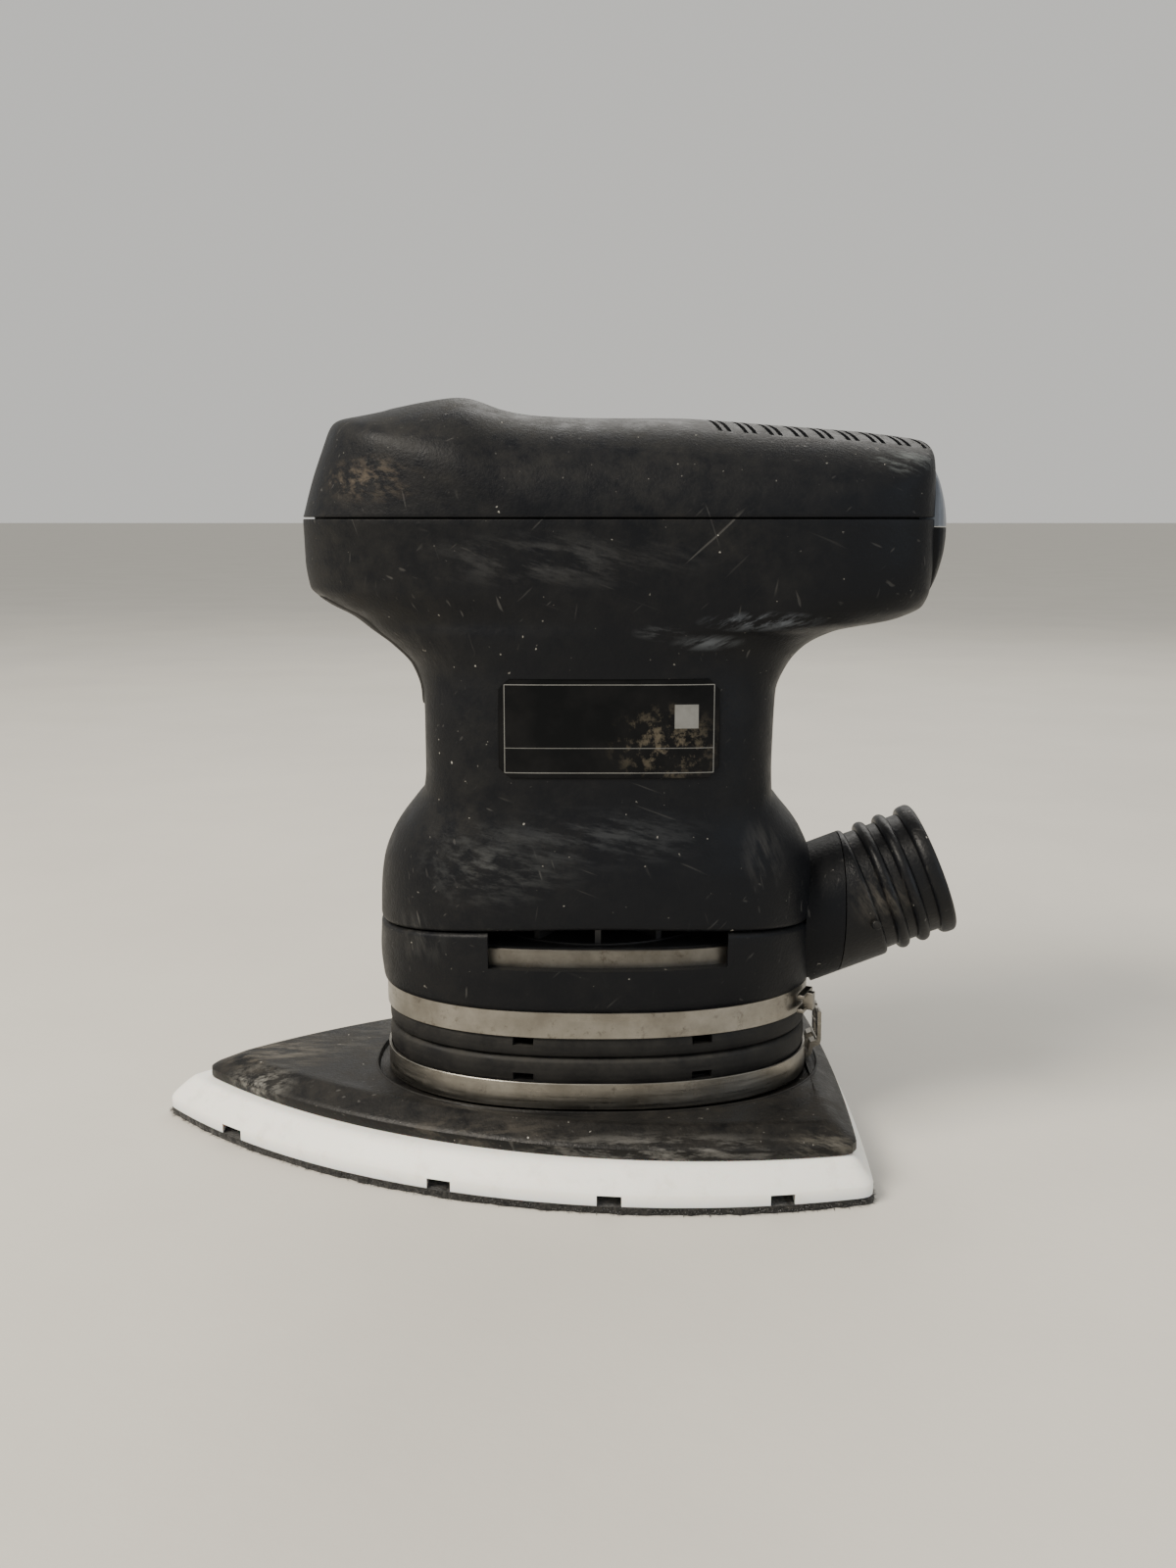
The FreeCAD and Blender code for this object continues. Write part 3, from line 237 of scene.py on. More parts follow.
# ---- Materials ----
class Look:
    """A node material put together layer by layer on one Principled shader."""

    def __init__(self, name, roughness=0.5, metallic=0.0, specular=0.5, **sockets):
        self.material = bpy.data.materials.new(name)
        self.material.use_nodes = True
        self.tree = self.material.node_tree
        self.shader = self.tree.nodes["Principled BSDF"]
        self.shader.inputs["Roughness"].default_value = roughness
        self.shader.inputs["Metallic"].default_value = metallic
        self.shader.inputs["Specular IOR Level"].default_value = specular
        for label, value in sockets.items():
            self.shader.inputs[label.replace("_", " ")].default_value = value
        self.place = self.tree.nodes.new("ShaderNodeTexCoord").outputs["Object"]
        self.normal = self.tree.nodes.new("ShaderNodeNewGeometry").outputs["Normal"]

    def node(self, kind, *links, **settings):
        made = self.tree.nodes.new(kind)
        for label, value in settings.items():
            setattr(made, label, value)
        for socket, value in links:
            if isinstance(value, bpy.types.NodeSocket):
                self.tree.links.new(value, made.inputs[socket])
            else:
                made.inputs[socket].default_value = value
        return made

    def scaled(self, stretch, turn=(0, 0, 0)):
        """Object coordinates turned and then drawn out, by (x, y, z) factors along the turned axes."""
        return self.node("ShaderNodeMapping", ("Vector", self.place), ("Scale", stretch),
                         ("Rotation", turn), vector_type="TEXTURE").outputs["Vector"]

    def noise(self, scale, detail=4.0, rough=0.6, stretch=None, turn=(0, 0, 0)):
        where = self.scaled(stretch, turn) if stretch else self.place
        return self.node("ShaderNodeTexNoise", ("Vector", where), ("Scale", scale), ("Detail", detail),
                         ("Roughness", rough)).outputs["Fac"]

    def ramp(self, value, low, high, out_low=0.0, out_high=1.0):
        return self.node("ShaderNodeMapRange", ("Value", value), ("From Min", low), ("From Max", high),
                         ("To Min", out_low), ("To Max", out_high)).outputs["Result"]

    def maths(self, how, a, b=0.0):
        return self.node("ShaderNodeMath", (0, a), (1, b), operation=how).outputs[0]

    def times(self, *values):
        result = values[0]
        for value in values[1:]:
            result = self.maths("MULTIPLY", result, value)
        return result

    def axis(self, label, source=None):
        return self.node("ShaderNodeSeparateXYZ", (0, source or self.place)).outputs[label]

    def spot(self, centre, size_mm, soft=0.5):
        """1 near a point of the row frame, fading to 0 at an ellipsoid of that size."""
        shifted = self.node("ShaderNodeVectorMath", (0, self.place), (1, tuple(c * MM for c in centre)),
                            operation="SUBTRACT").outputs[0]
        shrunk = self.node("ShaderNodeVectorMath", (0, shifted), (1, tuple(1 / (s * MM) for s in size_mm)),
                           operation="MULTIPLY").outputs[0]
        length = self.node("ShaderNodeVectorMath", (0, shrunk), operation="LENGTH").outputs["Value"]
        return self.ramp(length, 1.0, 1.0 - soft)

    def blend(self, amount, first, second):
        made = self.node("ShaderNodeMix", data_type="RGBA")
        for socket, value in ((0, amount), (6, first), (7, second)):
            if isinstance(value, bpy.types.NodeSocket):
                self.tree.links.new(value, made.inputs[socket])
            else:
                made.inputs[socket].default_value = (*value, 1.0) if socket else value
        return made.outputs[2]

    def colour(self, value):
        self.tree.links.new(value, self.shader.inputs["Base Color"])

    def rough(self, value):
        self.tree.links.new(value, self.shader.inputs["Roughness"])

    def bump(self, layers):
        """Height layers as (value, depth in mm)."""
        previous = None
        for value, depth in layers:
            links = [("Height", value), ("Distance", depth * MM), ("Strength", 1.0)]
            if previous:
                links.append(("Normal", previous))
            previous = self.node("ShaderNodeBump", *links).outputs["Normal"]
        self.tree.links.new(previous, self.shader.inputs["Normal"])


# (direction in radians, noise scale, threshold) of the scratches
SCRATCHES = ((0.35, 900, 0.70), (-0.75, 1100, 0.71), (1.25, 1000, 0.705), (-1.4, 800, 0.71))


def worn_plastic(name, base, warm, dust_and_light=0.35, rough=0.5, specular=0.28, scuffs=()):
    """Moulded plastic with a fine spark-eroded grain, dust film, painted warm light on its front end,
    scratches and pale scuffs.
    """
    look = Look(name, rough, specular=specular)
    broad = look.noise(26, 4, 0.6)
    cloudy = look.noise(170, 6, 0.75)
    speck = look.noise(1500, 2, 0.6)
    # painted warm light: the front (camera-left) end is tinted towards the warm colour, as if lit by the
    # warm key lamp
    key_lit_front = look.ramp(look.axis("X"), 0.03, -0.06)
    upward = look.ramp(look.axis("Z", look.normal), 0.25, 0.9)
    film = look.times(look.ramp(broad, 0.42, 0.72), look.ramp(cloudy, 0.38, 0.75), dust_and_light)
    painted_warm_light = look.times(key_lit_front, look.ramp(cloudy, 0.4, 0.8), dust_and_light * 0.6)
    top_dust = look.times(upward, look.ramp(cloudy, 0.32, 0.7), dust_and_light * 0.9)
    # from here film holds both the dust and the painted warm light on the front end
    film = look.maths("ADD", look.maths("ADD", film, painted_warm_light), top_dust)
    colour = look.blend(film, base, warm)
    scratch = None
    for turn, scale, cut in SCRATCHES:
        streak = look.noise(scale, 1, 0.5, stretch=(26, 1, 1), turn=(0, turn, 0))
        patch = look.noise(48, 2, 0.6, stretch=(1, 1, 1.01), turn=(turn, 0, turn))
        line = look.times(look.ramp(streak, cut + 0.015, cut + 0.07), look.ramp(patch, 0.5, 0.62))
        scratch = line if scratch is None else look.maths("MAXIMUM", scratch, line)
    colour = look.blend(look.times(scratch, 0.22), colour, (0.16, 0.155, 0.145))
    flecks = look.times(look.ramp(look.noise(1000, 1, 0.5), 0.755, 0.775), look.ramp(cloudy, 0.5, 0.62))
    colour = look.blend(look.times(flecks, 0.6), colour, (0.5, 0.48, 0.43))
    for centre, size, strength, tint, lean in scuffs:
        torn = look.ramp(look.noise(520, 5, 0.7, stretch=(5, 1, 1), turn=(0, lean, 0)), 0.46, 0.62)
        mark = look.times(look.spot(centre, size, 1.0), torn, strength)
        colour = look.blend(mark, colour, tint)
    look.colour(colour)
    sheen = look.ramp(cloudy, 0.3, 0.7, rough - 0.07, rough + 0.1)
    look.rough(look.maths("ADD", sheen, look.times(film, 0.25)))
    look.bump([(speck, 0.085), (look.noise(5200, 1, 0.5), 0.015), (scratch, -0.03)])
    return look.material


def worn_steel(name, colour_a, colour_b, rough=0.34, lines=(20, 20, 1)):
    """Brushed sheet steel with cloudy tarnish and patches of grime."""
    look = Look(name, rough, 1.0)
    cloudy = look.noise(120, 5, 0.65)
    fine = look.noise(1500, 3, 0.6, stretch=lines)
    colour = look.blend(look.ramp(cloudy, 0.35, 0.7), colour_a, colour_b)
    grime = look.times(look.ramp(look.noise(260, 6, 0.75), 0.56, 0.7), 0.75)
    colour = look.blend(grime, colour, (0.09, 0.075, 0.055))
    look.colour(colour)
    brushed = look.ramp(fine, 0.3, 0.7, rough - 0.08, rough + 0.1)
    look.rough(look.maths("ADD", brushed, look.times(grime, 0.3)))
    look.bump([(fine, 0.01), (cloudy, 0.03)])
    return look.material


def plain_look(name, colour_a, colour_b, rough=0.5, metallic=0.0, scale=220, depth=0.02, specular=0.5):
    """Two shades mixed by a soft noise, with a little relief."""
    look = Look(name, rough, metallic, specular)
    cloudy = look.noise(scale, 5, 0.65)
    look.colour(look.blend(look.ramp(cloudy, 0.3, 0.75), colour_a, colour_b))
    look.rough(look.ramp(cloudy, 0.3, 0.7, rough - 0.06, rough + 0.1))
    look.bump([(cloudy, depth)])
    return look.material


# Scuffs are (centre, half size in mm, strength, colour, lean in radians).
HOUSING_SCUFFS = (
    ((31, -31, 110.5), (13, 9, 2.2), 0.75, (0.20, 0.22, 0.25), -0.5),
    ((21, -31, 106.5), (8, 9, 1.8), 0.5, (0.17, 0.185, 0.20), -0.35),
    ((12, -31, 108.5), (6, 8, 1.8), 0.45, (0.15, 0.16, 0.17), 0.1),
    ((-43, -24, 137), (13, 14, 5), 0.5, (0.15, 0.12, 0.085), 0.3),
    ((-36, -28, 103), (9, 10, 7), 0.3, (0.10, 0.095, 0.085), 1.2),
    ((-10, -33, 122), (34, 8, 6), 0.3, (0.10, 0.10, 0.10), 0.25),
    ((0, -33, 69), (30, 8, 7), 0.35, (0.09, 0.095, 0.10), 0.2),
    ((-22, -30, 63), (22, 10, 10), 0.4, (0.085, 0.088, 0.088), 0.15),
    ((36, -30, 66), (9, 9, 12), 0.5, (0.13, 0.125, 0.115), 1.2),
    ((-38, -28, 47), (9, 12, 7), 0.35, (0.10, 0.10, 0.095), 1.3),
    ((58, -30, 141), (9, 10, 4), 0.7, (0.20, 0.22, 0.22), 0.4),
)
PORT_SCUFFS = (((59, -13, 52), (8, 6, 7), 0.5, (0.10, 0.09, 0.075), 1.0),)
CARRIER_SCUFFS = (
    ((-70, 2, 14), (17, 14, 5), 0.6, (0.17, 0.15, 0.12), 0.1),
    ((-46, 10, 14), (15, 15, 5), 0.4, (0.13, 0.12, 0.10), 0.1),
    ((-74, -12, 11), (14, 8, 5), 0.6, (0.32, 0.31, 0.28), 0.15),
    ((-30, -38, 11), (34, 8, 4), 0.45, (0.12, 0.105, 0.085), 0.05),
    ((10, -44, 10), (38, 6, 4), 0.45, (0.28, 0.27, 0.25), 0.05),
    ((45, -42, 10), (12, 8, 4), 0.5, (0.19, 0.175, 0.145), 0.4),
)


def sleeve_rubber():
    """Matt black rubber with dust on what faces up."""
    rubber = Look("dusty_rubber", 0.62, specular=0.2)
    cloudy = rubber.noise(160, 6, 0.7)
    upward = rubber.ramp(rubber.axis("Z", rubber.normal), -0.1, 0.55)
    lying = rubber.maths("ADD", rubber.times(upward, 0.75), 0.3)
    film = rubber.times(rubber.ramp(cloudy, 0.35, 0.7), lying)
    rubber.colour(rubber.blend(film, (0.005, 0.005, 0.0055), (0.034, 0.032, 0.028)))
    rubber.rough(rubber.ramp(film, 0, 1, 0.5, 0.85))
    rubber.bump([(cloudy, 0.05), (rubber.noise(1500, 2), 0.03)])
    return rubber.material


def white_foam():
    """White moulded foam, stained here and there, and darkened to a cool grey along its lower edge as
    painted shade.
    """
    foam = Look("pad_white", 0.42, specular=0.4, Subsurface_Weight=0.12, Subsurface_Scale=0.003)
    cloudy = foam.noise(70, 5, 0.6)
    # painted shade: low marks the foam's lower edge, which is darkened towards a cool blue-grey
    low = foam.ramp(foam.axis("Z"), 0.0034, 0.0012)
    stain = foam.times(foam.ramp(foam.noise(240, 6, 0.7), 0.52, 0.72), 0.3)
    colour = foam.blend(foam.ramp(cloudy, 0.3, 0.75), (0.86, 0.845, 0.78), (0.90, 0.885, 0.83))
    colour = foam.blend(stain, colour, (0.55, 0.50, 0.41))
    colour = foam.blend(foam.times(low, 0.55), colour, (0.50, 0.52, 0.60))
    foam.colour(colour)
    foam.rough(foam.ramp(cloudy, 0.3, 0.7, 0.36, 0.52))
    foam.bump([(foam.noise(420, 3), 0.03), (cloudy, 0.08)])
    return foam.material


def hook_fabric():
    """Black hook fabric with a coarse nap."""
    hook = Look("hook_fabric", 0.95, specular=0.15, Sheen_Weight=0.25)
    weave = hook.noise(1600, 3, 0.7)
    hook.colour(hook.blend(hook.ramp(weave, 0.4, 0.65), (0.006, 0.006, 0.006), (0.035, 0.033, 0.03)))
    hook.rough(hook.ramp(weave, 0.3, 0.7, 0.85, 1.0))
    hook.bump([(weave, 0.25)])
    return hook.material


def label_film():
    """Glossy black film, rubbed through near one corner."""
    label = Look("label_film", 0.2, specular=0.08)
    cloudy = label.noise(120, 4, 0.6)
    rubbed = label.spot((13, -30, 87), (12, 6, 9), 0.7)
    worn = label.times(label.ramp(label.noise(330, 6, 0.75), 0.5, 0.6), rubbed)
    colour = label.blend(label.ramp(cloudy, 0.4, 0.7), (0.003, 0.0034, 0.004), (0.007, 0.007, 0.0075))
    colour = label.blend(label.times(worn, 0.7), colour, (0.10, 0.085, 0.06))
    label.colour(colour)
    label.rough(label.ramp(worn, 0, 1, 0.16, 0.6))
    label.bump([(cloudy, 0.02), (worn, -0.05)])
    return label.material


def outer_looks():
    return {
        "charcoal": worn_plastic("charcoal_plastic", (0.0042, 0.0048, 0.0064), (0.040, 0.037, 0.031),
                                 0.3, 0.44, 0.13, HOUSING_SCUFFS),
        "port": worn_plastic("port_plastic", (0.0042, 0.0047, 0.006), (0.036, 0.034, 0.030),
                             0.24, 0.36, 0.2, PORT_SCUFFS),
        "carrier": worn_plastic("carrier_plastic", (0.0055, 0.0055, 0.0058), (0.040, 0.035, 0.028),
                                0.3, 0.38, 0.18, CARRIER_SCUFFS),
        "grip": plain_look("soft_grip", (0.006, 0.006, 0.0065), (0.015, 0.0145, 0.0135), 0.62,
                           depth=0.04, specular=0.2),
        # upper rear-cap half: its lighter blue-grey is painted sky light on the up-facing half, not a
        # colour of its own
        "lens": plain_look("grey_lens", (0.085, 0.10, 0.125), (0.13, 0.145, 0.17), 0.32),
        "band": worn_steel("band_steel", (0.20, 0.187, 0.163), (0.31, 0.295, 0.265), 0.33),
        "baffle": worn_steel("baffle_steel", (0.11, 0.102, 0.088), (0.20, 0.19, 0.17), 0.42),
        "rubber": sleeve_rubber(),
        "foam": white_foam(),
        "hook": hook_fabric(),
        "label": label_film(),
        "label_line": plain_look("label_print", (0.10, 0.10, 0.095), (0.17, 0.17, 0.16), 0.4),
        "switch": plain_look("switch_plastic", (0.010, 0.010, 0.011), (0.022, 0.022, 0.022), 0.34),
    }


def inner_looks():
    return {
        "machined": worn_steel("machined_steel", (0.5, 0.5, 0.5), (0.62, 0.62, 0.62), 0.28),
        "balls": plain_look("ball_steel", (0.7, 0.7, 0.71), (0.78, 0.78, 0.78), 0.1, 1.0, depth=0.002),
        "core": worn_steel("core_laminations", (0.25, 0.25, 0.26), (0.36, 0.35, 0.34), 0.45, (30, 30, 1)),
        "copper": plain_look("enamelled_copper", (0.42, 0.13, 0.035), (0.55, 0.2, 0.06),
                             0.32, 0.6, 600, 0.12),
        "bare_copper": plain_look("bare_copper", (0.55, 0.27, 0.13), (0.68, 0.38, 0.2), 0.3, 1.0),
        "carbon": plain_look("carbon_block", (0.02, 0.02, 0.02), (0.05, 0.05, 0.05), 0.6, 0.1, 800),
        "nylon": plain_look("inner_nylon", (0.016, 0.016, 0.017), (0.032, 0.031, 0.03), 0.5),
        "film_box": plain_look("capacitor_film", (0.6, 0.42, 0.06), (0.7, 0.5, 0.1), 0.3),
    }


LOOKS = {**outer_looks(), **inner_looks()}
SLOT_LOOKS = {
    "charcoal_plastic": "charcoal", "carrier_plastic": "carrier", "soft_grip": "grip", "grey_lens": "lens",
    "band_steel": "band", "sleeve_rubber": "rubber", "label_film": "label", "pad_foam_white": "foam",
    "hook_fabric": "hook", "machined_steel": "machined", "ball_steel": "balls", "core_steel": "core",
    "enamelled_copper": "copper", "commutator_copper": "bare_copper", "carbon": "carbon",
    "spring_wire": "machined", "inner_nylon": "nylon", "switch_plastic": "switch",
    "capacitor_film": "film_box",
}


def dress(piece, look):
    """Give a piece its material."""
    piece.data.materials.clear()
    piece.data.materials.append(LOOKS[look])


def dress_carried_nodes():
    """Give every CAD node the material of its slot."""
    slots = {part["node"]: part["material_slot"] for part in frame["record"]["subparts"]}
    for name, thing in frame["nodes"].items():
        material = LOOKS[SLOT_LOOKS[slots[name]]]
        for slot in thing.material_slots:
            slot.link = "OBJECT"
            slot.material = material
        if not thing.material_slots:
            thing.data.materials.append(material)


# ---- Housing ----
# (height, front, rear, half width, front roundness, rear roundness), from the bottom up
HOUSING_LEVELS = (
    (33.6, -45.8, 45.4, 31.0, 2.4, 2.4),
    (40.0, -46.3, 45.6, 31.6, 2.5, 2.5),
    (47.0, -46.0, 45.4, 32.0, 2.6, 2.6),
    (54.0, -45.7, 45.2, 32.2, 2.7, 2.7),
    (60.0, -44.9, 44.8, 31.9, 2.8, 2.8),
    (66.0, -42.6, 42.5, 31.0, 3.0, 3.0),
    (71.0, -38.9, 38.6, 30.2, 3.3, 3.3),
    (75.0, -35.9, 36.0, 29.7, 3.8, 3.8),
    (80.0, -35.3, 35.7, 29.6, 4.0, 4.0),
    (90.0, -35.3, 35.9, 29.6, 4.0, 4.0),
    (95.5, -35.7, 36.4, 29.8, 3.6, 3.6),
    (100.5, -37.8, 38.9, 30.3, 3.0, 3.0),
    (104.5, -41.9, 42.8, 30.8, 2.75, 2.75),
    (107.5, -46.2, 49.0, 31.1, 2.6, 2.8),
    (110.2, -50.0, 61.2, 31.3, 2.5, 3.3),
    (112.8, -55.1, 64.8, 31.6, 2.45, 4.5),
    (116.0, -59.0, 65.4, 31.9, 2.45, 5.5),
    (122.0, -59.8, 65.6, 32.2, 2.5, 6.0),
    (129.4, -59.8, 65.6, 32.3, 2.7, 6.0),
)
HOUSING_FOOT = 33.6
HOUSING_BRIM = 129.4
BRIM_TOP = 129.5
# (height, inset) rows over the lip that the top shell sits round
HOUSING_LIP = ((BRIM_TOP, 1.2), (BRIM_TOP, 2.25), (131.4, 2.3), (131.4, 3.6), (126.0, 3.6))
WALL = 2.4
SEAM_RADIUS = 297.5             # the seam between housing and collar is an arc, seen from the side
SEAM_TOP = 50.5
SEAM_MIDDLE = SEAM_TOP - 1.7
SEAM_HALF_GAP = 0.12
SEAM_REACH = 8.0
NOSE_NOTCH = ((-3.0, 127.9), (-2.2, 127.4), (3.2, 128.3), (2.6, 130.4), (-3.4, 130.4))
EXHAUST_FRONT, EXHAUST_REAR = -21.7, 25.7
EXHAUST_SILL = 42.3
SOCKET_RADIUS = 11.8
PASSAGE_RADIUS = 12.1


def seam_height(x):
    """Height of the arched seam at a place along the tool."""
    return np.sqrt(SEAM_RADIUS ** 2 - x ** 2) - SEAM_RADIUS + SEAM_TOP


def rounded_edge(radius, steps=4):
    """(inset, step back from the edge) pairs of a quarter round, from the edge inwards."""
    turns = np.linspace(0, np.pi / 2, steps)
    return [(radius * (1 - math.sin(t)), radius * (1 - math.cos(t))) for t in turns]


def shell_loop(z, inset, place=None):
    """Outline of the housing at a height, set in, and put at that height or at another place."""
    return at_height(section(HOUSING_LEVELS, z, inset), z if place is None else place)


def crowned_loop(z, inset):
    """Loop at a height that bends to follow the seam as it comes near it."""
    outline = section(HOUSING_LEVELS, z, inset)
    pull = np.clip(1 - abs(z - SEAM_MIDDLE) / SEAM_REACH, 0, 1)
    return at_height(outline, z + (seam_height(outline[:, 0]) - SEAM_MIDDLE) * pull)


def port_passage():
    """Round bore of the dust port through the shells."""
    return rod(port_point(40, 0), port_point(70, 0), PASSAGE_RADIUS, 64)


def make_housing():
    """Hollow main shell from the seam up to the lip that the top shell sits round."""
    low = SEAM_MIDDLE + SEAM_HALF_GAP
    loops = [crowned_loop(low + 0.7 * back, inset * 0.75) for inset, back in rounded_edge(1.5, 6)]
    for start, stop, step in ((low + 1.9, 104, 0.9), (104, 117, 0.33), (117.4, 128.6, 1.2)):
        loops += [crowned_loop(z, 0) for z in np.arange(start, stop, step)]
    for inset, back in reversed(rounded_edge(0.22)):
        loops.append(shell_loop(HOUSING_BRIM, inset, BRIM_TOP - back))
    for z, inset in HOUSING_LIP:
        loops.append(shell_loop(HOUSING_BRIM, inset, z))
    for heights, drop in (((124, 118, 112, 108, 104, 98, 92), -WALL), ((80, 74, 70, 66, 60, 54), WALL)):
        loops += [shell_loop(z + drop, WALL, z) for z in heights]
    loops.append(crowned_loop(low, WALL))
    ring = np.array([(0, y, z) for y, z in NOSE_NOTCH])
    notch = lathe([ring + (x, 0, 0) for x in (-64, -56.6)], "caps")
    make("main_housing_shell", lathe(loops), "housing", "charcoal_plastic", ("main_housing",), 28,
         cuts=[notch, port_passage(), cap_skin(CAP_GAP), label_seat()])


def make_collar():
    """Lower collar with its exhaust slots and the neck that holds the sleeve."""
    top = SEAM_MIDDLE - SEAM_HALF_GAP
    loops = [shell_loop(HOUSING_FOOT, 1.0, 33.5)]
    for z, inset in ((33.6, 0.35), (34.0, 0.1), (34.6, 0)):
        loops.append(shell_loop(z, inset))
    loops += [crowned_loop(z, 0) for z in np.arange(35.5, top - 2.0, 0.8)]
    for inset, back in reversed(rounded_edge(1.5, 6)):
        loops.append(crowned_loop(top - 0.7 * back, inset * 0.75))
    loops.append(crowned_loop(top, WALL))
    loops += [shell_loop(z, WALL) for z in (44, 40, 36)]
    for z, inset in ((34, 4.4), (27.2, 4.4), (27.2, 2.2), (33.3, 2.2)):
        loops.append(neck_loop(z, inset))
    slots = [block((EXHAUST_FRONT, low, EXHAUST_SILL), (EXHAUST_REAR, low + 20, 56)) for low in (-40, 20)]
    make("lower_collar_shell", lathe(loops), "housing", "charcoal_plastic", ("lower_collar",), 28,
         cuts=slots + [port_passage()])


GRIP_LOW, GRIP_HIGH = 92.5, 114.4
GRIP_HALF_WIDTH = 15.0
GRIP_CORNER = 4.0
GRIP_EDGE = 0.8
GRIP_PROUD = 0.35


def front_point(y, z, lift):
    """Point on the front of the housing, lifted off its skin."""
    table = np.array(HOUSING_LEVELS, float)
    front, rear, half_width, roundness = [eased(table[:, (0, k)], z) for k in range(1, 5)]
    reach = (1 - (abs(y) / (half_width + lift)) ** roundness) ** (1 / roundness)
    return np.array(((front + rear) / 2 - ((rear - front) / 2 + lift) * reach, y, z))


def make_grip_insert():
    """Soft insert under the nose, a little proud of the skin, with round corners and rolled edges."""
    across = np.linspace(-1, 1, 49)
    loops = []
    for z in np.linspace(GRIP_LOW, GRIP_HIGH, 45):
        end = min(z - GRIP_LOW, GRIP_HIGH - z)
        short = GRIP_CORNER - math.sqrt(GRIP_CORNER ** 2 - max(GRIP_CORNER - end, 0) ** 2)
        half = GRIP_HALF_WIDTH - short
        ring = []
        for y in across * half:
            margin = min(end, half - abs(y))
            ring.append(front_point(y, z, GRIP_PROUD * min(1, margin / GRIP_EDGE) ** 0.5 - 0.02))
        ring += [front_point(y, z, -0.5) for y in across[::-1] * half]
        loops.append(np.array(ring))
    make("front_grip_pad", lathe(loops, "caps"), "housing", "soft_grip", ("front_grip_insert",), 40)


# (x, height) of the top shell's crown from nose to tail, and its walls' rows as for the housing
TOP_PROFILE = np.array((
    (-66.0, 146.6), (-52.0, 149.0), (-44.0, 150.4), (-35.9, 152.3), (-29.0, 153.4), (-26.3, 153.7),
    (-22.9, 152.4), (-19.0, 150.9), (-13.0, 149.9), (0.0, 149.4), (14.0, 149.4), (34.0, 148.1),
    (50.0, 146.9), (62.0, 145.5), (76.0, 143.2)))
TOP_PLAN = (
    (124.0, -61.4, 65.7, 32.3, 2.7, 6.0),
    (130.3, -59.6, 65.6, 32.3, 2.7, 6.0),
    (137.0, -57.7, 65.4, 32.3, 2.7, 6.0),
    (144.0, -55.1, 64.9, 32.3, 2.7, 6.0),
    (157.0, -50.2, 63.3, 32.3, 2.7, 6.0),
)
TOP_START = 129.85
TOP_WALL = 2.0
DOME_FOOT = 118
DOME_HALF_WIDTH = 33.4
DOME_ROUNDNESS = 2.9
GROOVE_FIRST = 21.0
GROOVE_PITCH = 4.9
GROOVE_PAIR = 1.7               # from one groove of a pair to the other
GROOVE_SLANT = 0.16
GROOVE_HALF_LENGTH = 21
GROOVE_DEPTH = 0.75


def dome_height(x, y):
    """Height of the top shell's crowned surface over a point."""
    top = np.array([eased(TOP_PROFILE, value) for value in np.atleast_1d(x)])
    side = np.clip(np.abs(np.atleast_1d(y)) / DOME_HALF_WIDTH, 0, 1)
    return DOME_FOOT + (top - DOME_FOOT) * (1 - side ** DOME_ROUNDNESS) ** (1 / DOME_ROUNDNESS)


def averaged(before, here, after):
    """Points drawn towards their neighbours."""
    return (before + 2 * here + after) / 4


def wall_to_crown(wall, heights):
    """Smoothed path up one line of the wall and over the dome to the centre line."""
    dome = dome_height(wall[:, 0], wall[:, 1])
    inside = heights < dome
    last = int(np.argmin(inside)) if not inside.all() else len(heights) - 1
    path = [np.array([*wall[i], heights[i]]) for i in range(max(last, 1))]
    edge = wall[max(last - 1, 0)]
    hub = np.array([np.clip(edge[0] * 0.86, -38, 50), 0.0])
    for share in np.linspace(0, 1, 46)[1:]:
        spot = edge + (hub - edge) * share
        path.append(np.array([*spot, dome_height(spot[0], spot[1])[0]]))
    soft = evenly(np.array(path), 110, closed=False)
    for _ in range(44):
        soft[1:-1] = averaged(soft[:-2], soft[1:-1], soft[2:])
    return soft


def make_top_shell():
    """Top shell: walls that run into a crowned dome, with grip grooves and openings for switch and cap."""
    heights = np.linspace(TOP_START, 156.5, 90)
    walls = np.array([section(TOP_PLAN, z) for z in heights])
    paths = np.array([wall_to_crown(walls[:, k], heights) for k in range(RING)])
    for _ in range(6):
        before, after = np.roll(paths, 1, 0), np.roll(paths, -1, 0)
        paths[:, 4:, 2] = averaged(before[:, 4:, 2], paths[:, 4:, 2], after[:, 4:, 2])
    mirror = (-np.arange(RING)) % RING
    paths[:, -1] = (paths[:, -1] + paths[mirror, -1]) / 2 * (1, 0, 1)
    loops = []
    for inset, back in rounded_edge(0.22):
        loops.append(at_height(section(TOP_PLAN, TOP_START, inset), TOP_START + back))
    loops += [paths[:, i] for i in range(2, paths.shape[1])]
    starts = [GROOVE_FIRST + GROOVE_PITCH * index for index in range(9)]
    grooves = merged([groove_cutter(x + shift) for x in starts for shift in (0, GROOVE_PAIR)])
    make("top_shell_skin", lathe(loops, "open"), "housing", "charcoal_plastic", ("top_shell",), 30,
         wall=TOP_WALL, cuts=[grooves, switch_opening(), cap_skin(CAP_GAP)])


def groove_cutter(x):
    """Narrow bar that follows the crown of the grip and runs out at both ends."""
    reach = np.linspace(-GROOVE_HALF_LENGTH, GROOVE_HALF_LENGTH, 41)
    to_end = GROOVE_HALF_LENGTH - np.abs(reach)
    spots = x + 2.4 - GROOVE_SLANT * to_end
    depths = GROOVE_DEPTH * np.clip(to_end / 2.5, 0, 1)
    loops = []
    for place, y, top, deep in zip(spots, reach, dome_height(spots, reach), depths):
        loops.append(np.array([(place - 0.42, y, top - deep), (place + 0.42, y, top - deep),
                               (place + 0.5, y, top + 2), (place - 0.5, y, top + 2)]))
    return lathe(loops, "caps")


SWITCH_AT = np.array((-49.6, 0, 137.2))
SWITCH_LEAN = math.radians(-70)
ROCKER_HALF_LENGTH, ROCKER_HALF_WIDTH = 4.8, 8.0
ROCKER_TOP = 6.2


